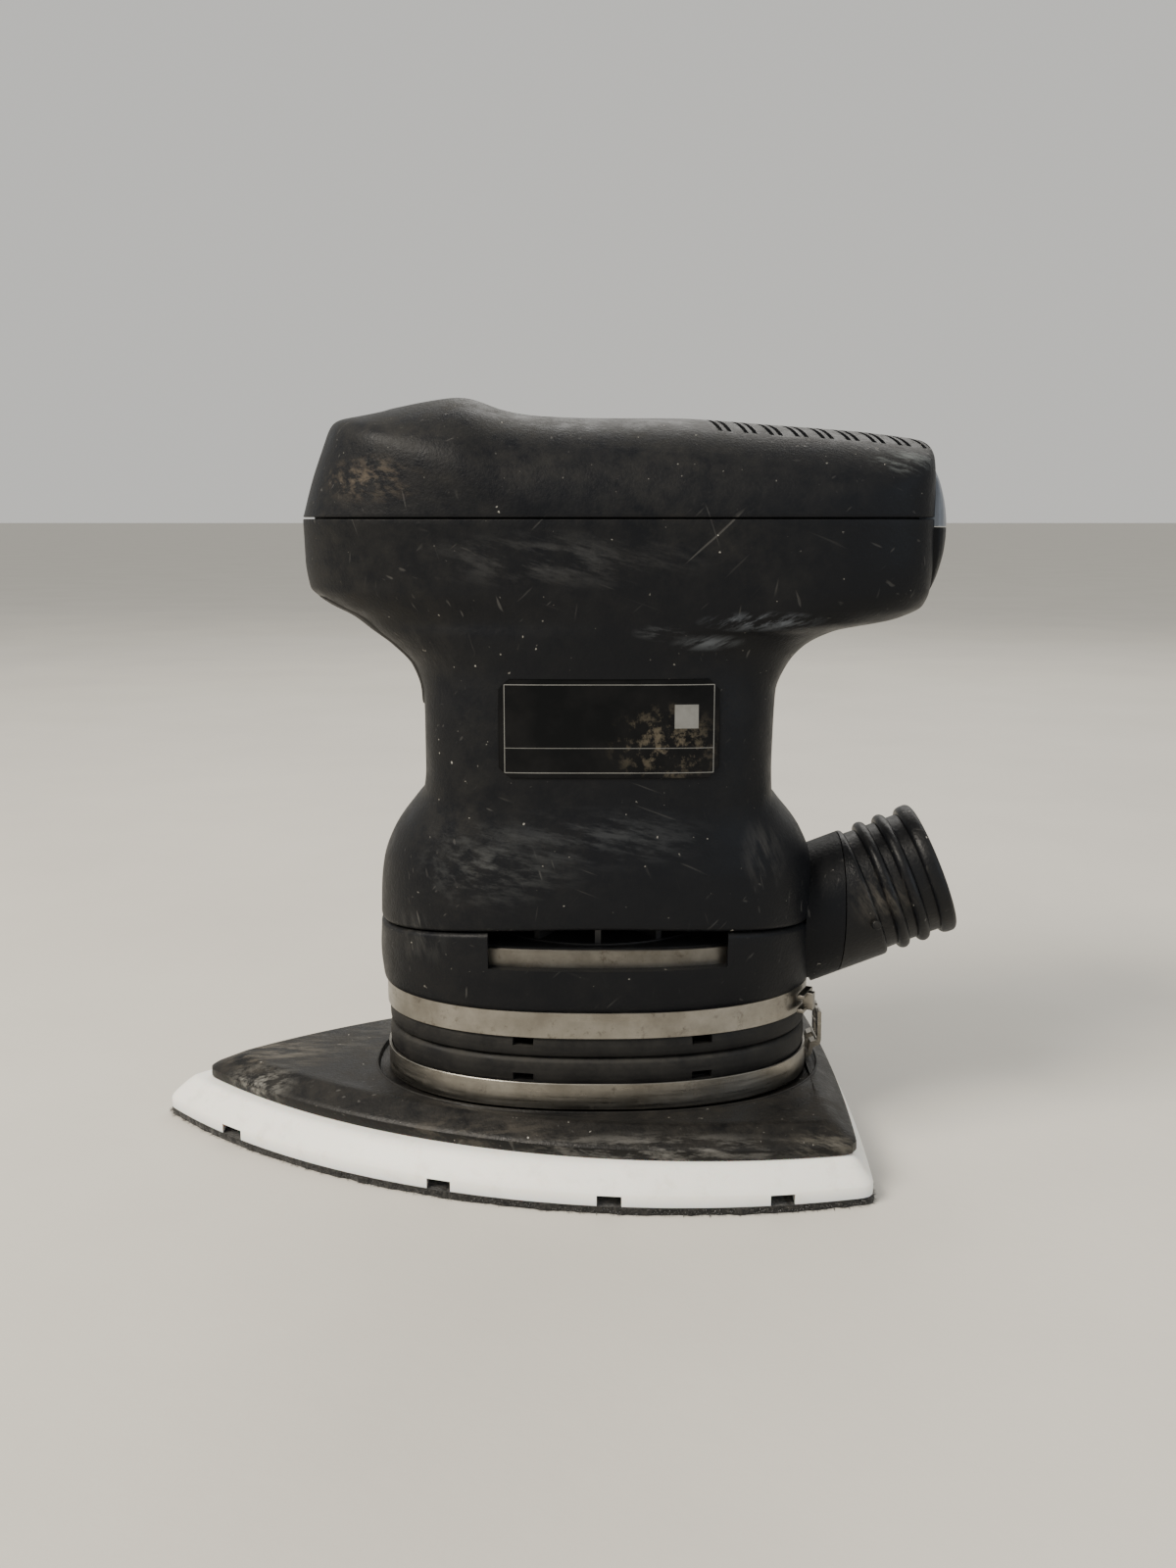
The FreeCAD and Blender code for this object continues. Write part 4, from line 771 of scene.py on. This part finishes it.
def switch_point(along, across, out):
    """Point in the rocker's own directions: along its face, across it, and out of it."""
    cosine, sine = math.cos(SWITCH_LEAN), math.sin(SWITCH_LEAN)
    face, up = np.array((cosine, 0, -sine)), np.array((sine, 0, cosine))
    return SWITCH_AT + along * face + across * np.array((0, 1, 0)) + out * up


def switch_opening():
    """Block that cuts the rocker's opening in the nose."""
    points, faces = block((-5.7, -8.6, -4), (5.7, 8.6, 16))
    return [switch_point(*p) for p in points], faces


def dished(ring, out):
    """Loop of the rocker, sunk towards its middle."""
    return np.array([switch_point(x, y, out + 0.55 * (x / ROCKER_HALF_LENGTH) ** 2) for x, y in ring])


def make_rocker():
    """Rocker with a dished face, finger ridges, a cross pin and rounded edges."""
    outline = superellipse(ROCKER_HALF_LENGTH, ROCKER_HALF_WIDTH, 7, count=96)
    loops = []
    for t in np.linspace(0, 1, 14):
        ring = outline * (1 - 0.16 * max(0, (t - 0.62) / 0.38) ** 2)
        out = -0.2 + 6.4 * t
        loops.append(dished(ring, out) if t > 0.6 else np.array([switch_point(x, y, out) for x, y in ring]))
    loops += [dished(outline * shrink * 0.84, ROCKER_TOP) for shrink in (0.9, 0.7, 0.5, 0.3, 0.1)]
    parts = [lathe(loops, "caps"), rod(SWITCH_AT - (0, 9.8, 0), SWITCH_AT + (0, 9.8, 0), 1.45, 24, 0.2)]
    for along in (-3.2, -2.2, 2.2, 3.2):
        parts.append(rod(switch_point(along, -5.2, 6.25), switch_point(along, 5.2, 6.25), 0.35, 12, 0.2))
    make("rocker_switch_key", merged(parts), "rocker", "switch_plastic", ("rocker_switch",), 30)


# (x, half width, half height) of the rear cap, from its foot to its middle
CAP_STATIONS = np.array((
    (59.5, 22.5, 15.0), (65.0, 22.5, 14.9), (66.0, 21.9, 13.4), (67.1, 19.6, 10.6), (68.4, 15.0, 7.2),
    (70.0, 8.0, 3.6)))
CAP_HEIGHT = 127.5
CAP_ROUNDNESS = 2.5
CAP_GAP = 0.25
UPPER_HALF_FOOT = 128.15
BASE_TOP = 127.85
INLET_HEIGHT = 121.5
INLET_RADIUS = 5.0


def cap_loop(x, half_y, half_z):
    """Upright loop of the rear cap."""
    ring = superellipse(half_y, half_z, CAP_ROUNDNESS)
    return np.column_stack([np.full(RING, x), ring[:, 0], ring[:, 1] + CAP_HEIGHT])


def cap_skin(grow):
    """Bulging rear cap, grown a little when it is used to cut its own seat."""
    index = np.arange(len(CAP_STATIONS))
    tracks = [np.column_stack([index, CAP_STATIONS[:, k]]) for k in range(3)]
    loops = []
    for place in np.linspace(0, index[-1], 50):
        x, half_y, half_z = [eased(track, place) for track in tracks]
        loops.append(cap_loop(x, half_y + grow, half_z + grow))
    x, half_y, half_z = CAP_STATIONS[-1]
    loops += [cap_loop(x, half_y * shrink, half_z * shrink) for shrink in (0.7, 0.4, 0.1)]
    return lathe(loops, "caps")


def make_rear_cap():
    """Two halves of the rear cap: an upper half in a lighter blue-grey, which is painted sky light on its
    up-facing side, and a black lower half with the inlet.
    """
    socket = block((50, -19.5, 114.9), (62.6, 19.5, 140.1))
    inlet = rod((55, 0, INLET_HEIGHT), (90, 0, INLET_HEIGHT), INLET_RADIUS, 64)
    # the upper half's lighter blue-grey is painted sky light, set against the black lower half of the same
    # cap
    make("rear_cap_sky_lit_half", cap_skin(0), "housing", "grey_lens", ("rear_cap_upper",), 30,
         keep=[block((50, -40, UPPER_HALF_FOOT), (90, 40, 150))], cuts=[socket])
    make("rear_cap_base", cap_skin(0), "housing", "charcoal_plastic", ("rear_cap_lower",), 30,
         keep=[block((50, -40, 100), (90, 40, BASE_TOP))], cuts=[socket, inlet])


# ---- Dust port ----
TILT = math.radians(21)
PORT_ALONG = np.array((math.cos(TILT), 0, math.sin(TILT)))
PORT_UP = np.array((-math.sin(TILT), 0, math.cos(TILT)))
PORT_RISE = 26.5                # the port's axis passes this far from the origin
PORT_RADIUS = 14.15
PORT_JOINT = 51.5               # x of the level joint between elbow and nozzle


def port_point(distance, radius, angle=0.0):
    """Point at a distance along the port's axis and a radius from it."""
    out = PORT_UP * math.cos(angle) + np.array((0, 1, 0)) * math.sin(angle)
    return PORT_ALONG * distance + PORT_UP * PORT_RISE + out * radius


def port_surface(profile, joint_x, side, count=128):
    """Skin about the port axis whose (distance, radius) rows start or stop at a level joint plane."""
    loops = []
    for distance, radius in profile:
        ring = []
        for angle in np.linspace(0, 2 * np.pi, count, endpoint=False):
            up = PORT_RISE + radius * math.cos(angle)
            limit = (joint_x + up * math.sin(TILT)) / math.cos(TILT)
            place = max(distance, limit) if side > 0 else min(distance, limit)
            ring.append(port_point(place, radius, angle))
        loops.append(np.array(ring))
    return loops


def rib_profile():
    """(distance, radius) rows of the ribbed nozzle from its neck to its open end and back inside."""
    rows = [(d, PORT_RADIUS) for d in np.arange(64, 70.9, 0.5)]
    rows += [(71.0 + 0.9 * math.sin(t), 13.25 + 0.9 * math.cos(t)) for t in np.linspace(0, 1.5, 6)]
    rows.append((72.0, 13.1))
    for centre in (75.7, 80.2):
        rows += [(centre - 1.35 * math.cos(t), 13.05 + 1.3 * math.sin(t))
                 for t in np.linspace(0, np.pi, 17)]
    rows += [(85.6 - 1.7 * math.cos(t), 13.0 + 1.35 * math.sin(t) ** 0.7)
             for t in np.linspace(0.02, 1.5, 14)]
    rows += [(86.2 + 1.15 * math.sin(t), 13.2 + 1.15 * math.cos(t)) for t in np.linspace(0, 1.5, 8)]
    rows += [(87.35, 12.6), (87.2, 12.0)]
    rows += [(distance, SOCKET_RADIUS) for distance in (86.7, 80, 63.4)]
    return rows + [(63.1, PASSAGE_RADIUS)]


def make_nozzle():
    """Ribbed nozzle that hoses push onto or into."""
    profile = [(40, 13.8), (40.6, PORT_RADIUS)] + rib_profile() + [(40, PASSAGE_RADIUS)]
    make("ribbed_nozzle", lathe(port_surface(profile, PORT_JOINT + 0.1, 1)),
         "housing", "charcoal_plastic", ("dust_nozzle",), 40, look="port")


def make_elbow():
    """Stub between the shells and the nozzle, trimmed to the housing's skin."""
    profile = [(47, PORT_RADIUS), (50, PORT_RADIUS), (80, PORT_RADIUS), (80, 13.7),
               (80, PASSAGE_RADIUS), (50, PASSAGE_RADIUS), (47, PASSAGE_RADIUS)]
    shells = [shell_loop(z, 0.05) for z in np.arange(HOUSING_FOOT, 72, 1.2)]
    neck = [at_height(superellipse(46.2, 31.6, 2.3), z) for z in (15, 33.9)]
    make("port_elbow", lathe(port_surface(profile, PORT_JOINT - 0.12, -1)),
         "housing", "charcoal_plastic", ("dust_elbow",), 40,
         cuts=[lathe(shells, "caps"), lathe(neck, "caps"), block((20, -20, 0), (41, 20, 90))])


def make_bayonet_knobs():
    """Small round knobs on both sides of the nozzle."""
    pins = []
    for side in (1, -1):
        pins.append(rod((57.7, side * 13.2, 46.9), (57.7, side * 15.1, 46.9), 1.0, 32, 0.3))
    make("bayonet_knobs", merged(pins), "housing", "charcoal_plastic", ("bayonet_pins",), 30, look="port")


def make_baffles():
    """Two bent steel strips behind the exhaust slots, standing in their lower two thirds."""
    centre, half_length, half_width, roundness = -0.3, 45.8, 31.9, 2.57
    profile = ((41.4, 3.5), (45.7, 3.5), (45.9, 3.3), (45.9, 2.85), (45.7, 2.65), (41.4, 2.65))

    def reach(x, inset):
        along = abs(x - centre) / (half_length - inset)
        return (half_width - inset) * (1 - along ** roundness) ** (1 / roundness)

    strips = []
    for side in (1, -1):
        loops = []
        for x in np.linspace(EXHAUST_FRONT - 1.5, EXHAUST_REAR + 1.5, 40):
            loops.append(np.array([(x, side * reach(x, inset), z) for z, inset in profile]))
        strips.append(lathe(loops, "caps"))
    make("exhaust_baffle_plates", merged(strips), "housing", "band_steel", ("exhaust_baffles",), 30,
         look="baffle")


# ---- Straps and rubber sleeve ----
NECK = (45.3, 30.7, 2.3)        # half length, half width and roundness of the neck
UPPER_STRAP = (28.0, 33.4)
LOWER_STRAP = (13.2, 18.6)
# (height, inset) rows down the outside of each half of the sleeve and back up its inside
SLEEVE_UPPER = (
    (23.76, 1.5), (23.9, 1.0), (24.3, 0.62), (24.9, 0.5), (26.2, 0.45), (27.2, 0.55), (27.8, 0.75),
    (33.3, 0.66), (33.3, 2.06), (26.0, 2.06), (25.4, 4.6), (23.76, 4.6))
SLEEVE_LOWER = (
    (13.3, 0.66), (18.8, 0.75), (19.3, 0.55), (20.3, 0.42), (21.9, 0.45), (22.9, 0.6), (23.4, 1.0),
    (23.58, 1.5), (23.58, 4.6), (22.3, 4.6), (21.8, 2.06), (13.3, 2.06))
SLEEVE_SLOTS = (-15, 21)


def neck_loop(z, inset):
    """Outline of the neck at a height, set in."""
    length, width, roundness = NECK
    return at_height(superellipse(length - inset, width - inset, roundness), z)


def strap(name, heights, body, node):
    """Steel band round the neck with softened edges."""
    low, high = heights
    edge = 0.12
    profile = [(low + edge, 0.0), (high - edge, 0.0), (high, edge), (high, 0.5), (low, 0.5), (low, edge)]
    make(name, lathe([neck_loop(z, inset) for z, inset in profile]), body, "band_steel", (node,), 30)


def sleeve_slot(x, side, heights):
    """Block that cuts one short slot square to the sleeve's outline."""
    length, width, roundness = NECK
    y = float(width * (1 - (abs(x) / length) ** roundness) ** (1 / roundness))
    turn = -side * math.atan2(x * 0.42, width)
    cosine, sine = math.cos(turn), math.sin(turn)
    points, faces = block((-2.1, -2.4, heights[0]), (2.1, 3.0, heights[1]))
    placed = []
    for px, py, pz in points:
        py = side * py
        placed.append((x + px * cosine - py * sine, side * (y - 0.35) + px * sine + py * cosine, pz))
    return placed, faces


def make_sleeve():
    """Rubber sleeve in two halves that meet at its moulding line."""
    for name, rows, body, nodes, heights in (
            ("sleeve_upper", SLEEVE_UPPER, "housing", ("rubber_sleeve",), (26.1, 27.9)),
            ("sleeve_lower", SLEEVE_LOWER, "pad", (), (18.7, 20.4))):
        dense = []
        for (z0, i0), (z1, i1) in zip(rows, rows[1:]):
            parts = 3 if abs(z1 - z0) < 1.6 and i0 < 1.6 and i1 < 1.6 else 1
            dense += [(z0 + (z1 - z0) * k / parts, i0 + (i1 - i0) * k / parts) for k in range(parts)]
        dense.append(rows[-1])
        make(name, lathe([neck_loop(z, inset) for z, inset in dense]), body, "sleeve_rubber", nodes, 32,
             cuts=[sleeve_slot(x, side, heights) for x in SLEEVE_SLOTS for side in (1, -1)])


# (x, height) outline of the buckle's lever, seen from the side
BUCKLE_LEVER = (
    (45.35, 14.0), (45.6, 14.0), (46.6, 14.6), (47.0, 16.4), (48.4, 17.0), (48.7, 18.0), (48.6, 24.4),
    (48.1, 24.6), (47.8, 24.2), (47.9, 18.2), (46.4, 17.6), (45.9, 15.4), (45.35, 15.0))
EAR_AT = (43.3, -14.1)
EAR_TURN = math.radians(-24)
EAR_BLOCKS = (
    ((-0.7, -3.4, 28.7), (0.75, 3.4, 29.6)),
    ((-0.7, -3.4, 31.7), (0.75, 3.4, 32.6)),
    ((-0.2, -0.9, 28.8), (2.0, 0.9, 32.5)))


def make_buckle():
    """Over-centre buckle of the lower strap, behind the sleeve."""
    parts = []
    for low, high in ((-4.0, -1.4), (1.4, 4.0)):
        loops = [np.array([(x, y, z) for x, z in BUCKLE_LEVER]) for y in (low, high)]
        parts.append(lathe(loops, "caps"))
    parts.append(rod((48.25, -3.6, 21.0), (48.25, 3.6, 21.0), 0.5, 20, 0.15))
    parts.append(rod((47.9, -3.6, 17.9), (47.9, 3.6, 17.9), 0.5, 20, 0.15))
    parts.append(block((47.85, -1.5, 22.6), (48.55, 1.5, 24.3), bevel=0.15))
    make("lower_buckle", merged(parts), "pad", "band_steel", ("lower_band_clip",), 30)


def make_strap_ear():
    """Folded ear where the upper strap's ends meet."""
    cosine, sine = math.cos(EAR_TURN), math.sin(EAR_TURN)
    parts = []
    for low, high in EAR_BLOCKS:
        points, faces = block(low, high, bevel=0.15)
        placed = [(EAR_AT[0] + x * cosine - y * sine, EAR_AT[1] + x * sine + y * cosine, z)
                  for x, y, z in points]
        parts.append((placed, faces))
    make("upper_strap_ear", merged(parts), "housing", "band_steel", ("upper_band_clip",), 30)


# ---- Carrier, pad and hook layer ----
# half width, x where it is widest, radius of the bowed sides, x of the rear edge
PAD_PLAN = (50, 16, 150, 55.2)
CARRIER_PLAN = (44.5, 20, 149.5, 51.7)
REAR_RADIUS = 570.0
FRINGE_COUNT = 1400
# (x, y) of the suction holes, the holes outside the carrier and the pad's screws
DUST_HOLES = ((-31, 12), (-31, -12), (2, 24), (2, -24), (35, 12), (35, -12))
OUTER_HOLES = ((-77, 0), (2, 40), (2, -40), (35, 35), (35, -35))
PAD_SCREWS = ((-20, 21), (-20, -21), (22, 21), (22, -21))
HOLE_RADIUS = 4.0
SCREW_HEAD_RADIUS = 4.6
SCREW_RADIUS = 2.0
# (height, inset, corner radius) rows up the edge of the carrier
CARRIER_EDGE = (
    (8.55, 0.6, 3), (8.7, 0.15, 3), (9.1, 0, 3), (10.6, 0.05, 3), (11.0, 0.3, 3), (11.4, 0.85, 3),
    (12.2, 2.3, 2.9), (13.0, 3.75, 2.8), (13.55, 4.75, 2.7), (13.72, 5.15, 2.6), (13.78, 5.7, 2.5),
    (13.8, 6.5, 2.5))
CARRIER_TOP = CARRIER_EDGE[-1][0]
# (height, inset) rows over the raised rim round the sleeve and down its seat
CARRIER_RIM = (
    (13.82, -2.95), (13.95, -2.8), (13.98, -2.6), (13.85, -2.4), (13.2, -2.25), (12.85, -2.0),
    (12.7, -1.3), (12.6, -0.36), (12.6, 2.2), (18.9, 2.2), (18.95, 4.9), (12.5, 4.9))
# (radius, height) rows over the bearing hub
CARRIER_HUB = (
    (19.2, 8.6), (19.2, 13.0), (17, 13.5), (17, 22.2), (16.6, 22.5), (13.05, 22.5), (13.05, 14.5),
    (8.5, 14.5), (8.5, 8.6))
# (height, inset, corner radius) rows up the edge of the foam pad
FOAM_EDGE = (
    (1.42, 1.2, 3), (1.42, 0.62, 3), (1.6, 0.45, 3), (3.6, 0.42, 3), (4.1, 0.6, 3), (5.0, 1.25, 2.8),
    (6.4, 2.4, 2.6), (7.5, 3.4, 2.4), (8.1, 4.05, 2.2), (8.4, 4.7, 2), (8.48, 5.6, 2))
# (height, inset, raggedness) rows up the edge of the hook layer
HOOK_EDGE = (
    (0.0, 0.7, 0.1), (0.02, 0.25, 0.28), (0.6, 0.12, 0.34), (1.1, 0.12, 0.25), (1.4, 0.3, 0.1))


def touching(first, first_radius, second, second_radius, rounding, pick):
    """Centre of the small circle that touches two big ones from inside."""
    a, b = first_radius - rounding, second_radius - rounding
    gap = second - first
    length = np.linalg.norm(gap)
    along = (a * a - b * b + length * length) / (2 * length)
    across = math.sqrt(max(a * a - along * along, 0))
    u = gap / length
    n = np.array((-u[1], u[0]))
    return max((first + u * along + n * across, first + u * along - n * across), key=pick)


def arc(centre, size, start, end, steps):
    """Points along a circle between two directions."""
    turns = np.linspace(start, end, steps)
    return np.column_stack([centre[0] + size * np.cos(turns), centre[1] + size * np.sin(turns)])


def heading(centre, point):
    """Direction from a centre to a point."""
    return math.atan2(point[1] - centre[1], point[0] - centre[0])


def delta_outline(plan, inset, rounding, count=RING):
    """Even points round a three-sided outline, starting at the middle of the rear edge."""
    half_width, widest, radius, rear = plan
    half_width, radius, rear = half_width - inset, radius - inset, rear - inset
    upper = np.array((widest, half_width - radius))
    lower = upper * (1, -1)
    back = np.array((rear - REAR_RADIUS, 0.0))
    tip = touching(upper, radius, lower, radius, rounding, lambda p: -p[0])
    shoulder = touching(upper, radius, back, REAR_RADIUS, rounding, lambda p: p[1])
    rear_end = heading(back, shoulder)
    side_start = heading(upper, shoulder)
    side_end = heading(upper, tip)
    half = np.vstack([
        arc(back, REAR_RADIUS, 0, rear_end, 40), arc(shoulder, rounding, rear_end, side_start, 16)[1:],
        arc(upper, radius, side_start, side_end, 300)[1:], arc(tip, rounding, side_end, math.pi, 16)[1:]])
    other = half[::-1][1:] * (1, -1)
    return evenly(np.vstack([half, other]), count)


def drills(places, low, high, radius, sides=32):
    """Upright rods that cut holes at (x, y) places."""
    return [rod((x, y, low), (x, y, high), radius, sides) for x, y in places]


def make_carrier():
    """Plate that carries the pad, its rim round the sleeve, and the bearing hub."""
    loops = [at_height(delta_outline(CARRIER_PLAN, inset, rounding), z)
             for z, inset, rounding in CARRIER_EDGE]
    edge = loops[-1]
    ring = superellipse(48.2, 33.6, 2.3)
    for t in np.linspace(0, 1, 10)[1:]:
        flat = edge[:, :2] * (1 - t) + ring * t
        loops.append(at_height(flat, CARRIER_TOP - 0.2 * math.sin(math.pi * t)))
    loops += [neck_loop(z, inset) for z, inset in CARRIER_RIM]
    loops += [at_height(superellipse(19, 19, 2), z) for z in (12.5, 8.55)]
    make("carrier_plate", lathe(loops), "pad", "carrier_plastic", ("pad_carrier",), 30,
         cuts=drills(DUST_HOLES, 5, 17, HOLE_RADIUS) + drills(PAD_SCREWS, 5, 17, SCREW_RADIUS, 24))
    hub = [at_height(superellipse(size, size, 2) + (1.0, 0), z) for size, z in CARRIER_HUB]
    make("carrier_hub", lathe(hub), "pad", "carrier_plastic", (), 30)


def make_foam():
    """White foam pad with cross channels, suction holes and screw pockets."""
    loops = [at_height(delta_outline(PAD_PLAN, inset, rounding, 320), z)
             for z, inset, rounding in FOAM_EDGE]
    cuts = [block((x - 2.35, -60, 1.0), (x + 2.35, 60, 3.6)) for x in (-77, -31, 2, 35)]
    cuts += drills(DUST_HOLES, 0, 12, HOLE_RADIUS)
    cuts += drills(PAD_SCREWS, 0, 7, SCREW_HEAD_RADIUS)
    cuts += drills(PAD_SCREWS, 0, 12, SCREW_RADIUS, 24)
    foam = make("pad_white_body", lathe(loops, "caps"), "pad", "pad_foam_white", ("pad_foam",), 35,
                cuts=cuts)


def outward(outline):
    """Unit vectors that point out of a closed outline."""
    along = np.roll(outline, -1, 0) - np.roll(outline, 1, 0)
    out = np.column_stack([along[:, 1], -along[:, 0]])
    return out / np.linalg.norm(out, axis=1)[:, None]


def make_hook_layer():
    """Frayed hook sheet under the pad."""
    count = 900
    ragged = rng.normal(0, 1, count)
    wave = np.convolve(np.tile(ragged, 3), np.ones(5) / 5, "same")[count:2 * count]
    base = delta_outline(PAD_PLAN, 0.25, 3.0, count)
    normals = outward(base)
    loops = []
    for z, inset, amount in HOOK_EDGE:
        shift = -inset + np.clip(wave * amount, -0.5, 0.35)
        loops.append(at_height(base + normals * shift[:, None], z))
    cuts = drills(DUST_HOLES + OUTER_HOLES, -2, 3, HOLE_RADIUS)
    cuts += drills(PAD_SCREWS, -2, 3, SCREW_HEAD_RADIUS)
    make("hook_sheet", lathe(loops, "caps"), "pad", "hook_fabric", ("hook_layer",), 50, cuts=cuts)


def make_fringe():
    """Short loose fibres that stand out all round the hook sheet."""
    edge = delta_outline(PAD_PLAN, 0.0, 3.0, FRINGE_COUNT)
    strands = []
    for root, out in zip(edge, outward(edge)):
        z = rng.uniform(0.1, 1.2)
        length = rng.uniform(0.35, 1.15)
        lean = rng.normal(0, 0.6)
        along = np.array((-out[1], out[0]))
        start = np.array((*(root - out * 0.4), z))
        reach = np.array((*(out * length + along * lean * length * 0.5), rng.uniform(-0.35, 0.15)))
        end = start + reach
        end[2] = max(end[2], 0.03)
        width = rng.uniform(0.05, 0.11)
        side = np.array((*along * width, 0))
        up = np.array((0, 0, width))
        corners = [start + side, start - side, start + up, end]
        strands.append((corners, [(0, 1, 2), (0, 2, 3), (2, 1, 3), (1, 0, 3)]))
    make("hook_fringe", merged(strands), "pad", "hook_fabric", (), 180)


# ---- Flank plate ----
WAIST = (0.3, 35.6, 29.6, 4)      # middle, half length, half width and roundness of the waist
PLATE_FRONT, PLATE_REAR = -19.15, 23.35
PLATE_LOW, PLATE_HIGH = 80.4, 99.6
PLATE_CORNER = 2.0
FRAME_FRONT, FRAME_REAR = -18.0, 22.2
FRAME_LOW, FRAME_HIGH = 81.5, 98.5
RULE_HEIGHT = 86.3


def flank(x, z, lift):
    """Point on the near side of the waist, lifted off it by a little."""
    middle, length, width, roundness = WAIST
    along = abs(x - middle) / (length + lift)
    return np.array((x, -(width + lift) * (1 - along ** roundness) ** (1 / roundness), z))


def label_seat():
    """Shallow recess of the plate's own outline in the flank."""
    loops = []
    for x in np.linspace(PLATE_FRONT, PLATE_REAR, 40):
        trim = max(0.0, PLATE_CORNER - min(x - PLATE_FRONT, PLATE_REAR - x))
        low, high = PLATE_LOW + trim, PLATE_HIGH - trim
        corners = ((low, 3), (high, 3), (high, -0.1), (low, -0.1))
        loops.append(np.array([flank(x, z, lift) for z, lift in corners]))
    return lathe(loops, "caps")


def ribbons(corners, width):
    """Thin flat lines on the plate through (x, height) corners."""
    strips = []
    for start, end in zip(corners, corners[1:]):
        start, end = np.array(start, float), np.array(end, float)
        along = (end - start) / np.linalg.norm(end - start)
        side = np.array((-along[1], along[0])) * width / 2
        loops = []
        for t in np.linspace(0, 1, 24):
            key_lit_front, right = start + (end - start) * t + side, start + (end - start) * t - side
            edges = ((key_lit_front, 0.25), (key_lit_front, 0.33), (right, 0.33), (right, 0.25))
            loops.append(np.array([flank(*spot, lift) for spot, lift in edges]))
        strips.append(lathe(loops, "caps"))
    return strips


def make_label_print():
    """Thin printed frame, one rule and a small square on the flank plate, with no lettering."""
    parts = ribbons([(FRAME_FRONT, FRAME_LOW), (FRAME_REAR, FRAME_LOW), (FRAME_REAR, FRAME_HIGH),
                     (FRAME_FRONT, FRAME_HIGH), (FRAME_FRONT, FRAME_LOW)], 0.16)
    parts += ribbons([(FRAME_FRONT, RULE_HEIGHT), (FRAME_REAR, RULE_HEIGHT)], 0.12)
    parts += ribbons([(14.6, 92.4), (19.2, 92.4)], 4.6)
    make("label_lines", merged(parts), "housing", "label_film", (), 40, look="label_line")


# ---- Floor, light and camera ----
FLOOR_SPAN = 60                 # metres
FLOOR_STEPS = 24
FLOOR_DROP = 0.00005
CAMERA_TILT = 10.38             # degrees below level
# (name, place, size, power, colour), all aimed at the same point
LAMPS = (
    ("key_light", (-0.75, -0.55, 0.95), (0.6, 0.45), 27, (1.0, 0.93, 0.82)),
    ("cool_fill", (0.95, -0.75, 0.45), (0.9, 0.9), 3.5, (0.76, 0.86, 1.0)),
    ("back_light", (0.3, 0.9, 0.9), (1.0, 0.6), 7, (1.0, 0.97, 0.92)))
LAMP_AIM = Vector((0, 0, 0.08))


def make_floor():
    """Wide pale floor, cut into squares."""
    across = [(step / FLOOR_STEPS - 0.5) * FLOOR_SPAN for step in range(FLOOR_STEPS + 1)]
    points = [(x, y, -FLOOR_DROP) for x in across for y in across]
    row = FLOOR_STEPS + 1
    corners = [i * row + j for i in range(FLOOR_STEPS) for j in range(FLOOR_STEPS)]
    mesh = bpy.data.meshes.new("floor")
    mesh.from_pydata(points, [], [(a, a + row, a + row + 1, a + 1) for a in corners])
    floor = bpy.data.objects.new("floor", mesh)
    bpy.context.collection.objects.link(floor)
    look = Look("floor_paint", 0.55, specular=0.3)
    cloudy = look.noise(9, 5, 0.6)
    look.colour(look.blend(look.ramp(cloudy, 0.3, 0.7), (0.53, 0.505, 0.455), (0.575, 0.55, 0.495)))
    look.bump([(look.noise(160, 4), 0.12)])
    floor.data.materials.append(look.material)


def make_lights():
    """Soft grey surroundings and three area lamps."""
    world = bpy.data.worlds.new("studio")
    world.use_nodes = True
    background = world.node_tree.nodes["Background"]
    background.inputs["Color"].default_value = (0.80, 0.79, 0.755, 1)
    background.inputs["Strength"].default_value = 0.84
    bpy.context.scene.world = world
    for name, place, size, power, colour in LAMPS:
        data = bpy.data.lights.new(name, "AREA")
        data.shape = "RECTANGLE"
        data.size, data.size_y = size
        data.energy = power
        data.color = colour
        light = bpy.data.objects.new(name, data)
        light.location = place
        light.rotation_euler = (LAMP_AIM - Vector(place)).to_track_quat("-Z", "Y").to_euler()
        bpy.context.collection.objects.link(light)


def make_camera():
    """Camera where the photo was taken from."""
    data = bpy.data.cameras.new("camera")
    data.sensor_fit = "VERTICAL"
    data.sensor_height = 36
    data.lens = 33.525
    camera = bpy.data.objects.new("camera", data)
    camera.location = (-0.00197, -0.3063, 0.130)
    camera.rotation_euler = (math.radians(90 - CAMERA_TILT), 0, 0)
    bpy.context.collection.objects.link(camera)
    bpy.context.scene.camera = camera


make_housing()
make_collar()
make_grip_insert()
make_top_shell()
make_rocker()
make_rear_cap()
make_nozzle()
make_elbow()
make_bayonet_knobs()
make_baffles()
strap("upper_strap", UPPER_STRAP, "housing", "upper_band")
strap("lower_strap", LOWER_STRAP, "pad", "lower_band")
make_sleeve()
make_buckle()
make_strap_ear()
make_carrier()
make_foam()
make_hook_layer()
make_fringe()
make_label_print()
dress_carried_nodes()
make_floor()
make_lights()
make_camera()
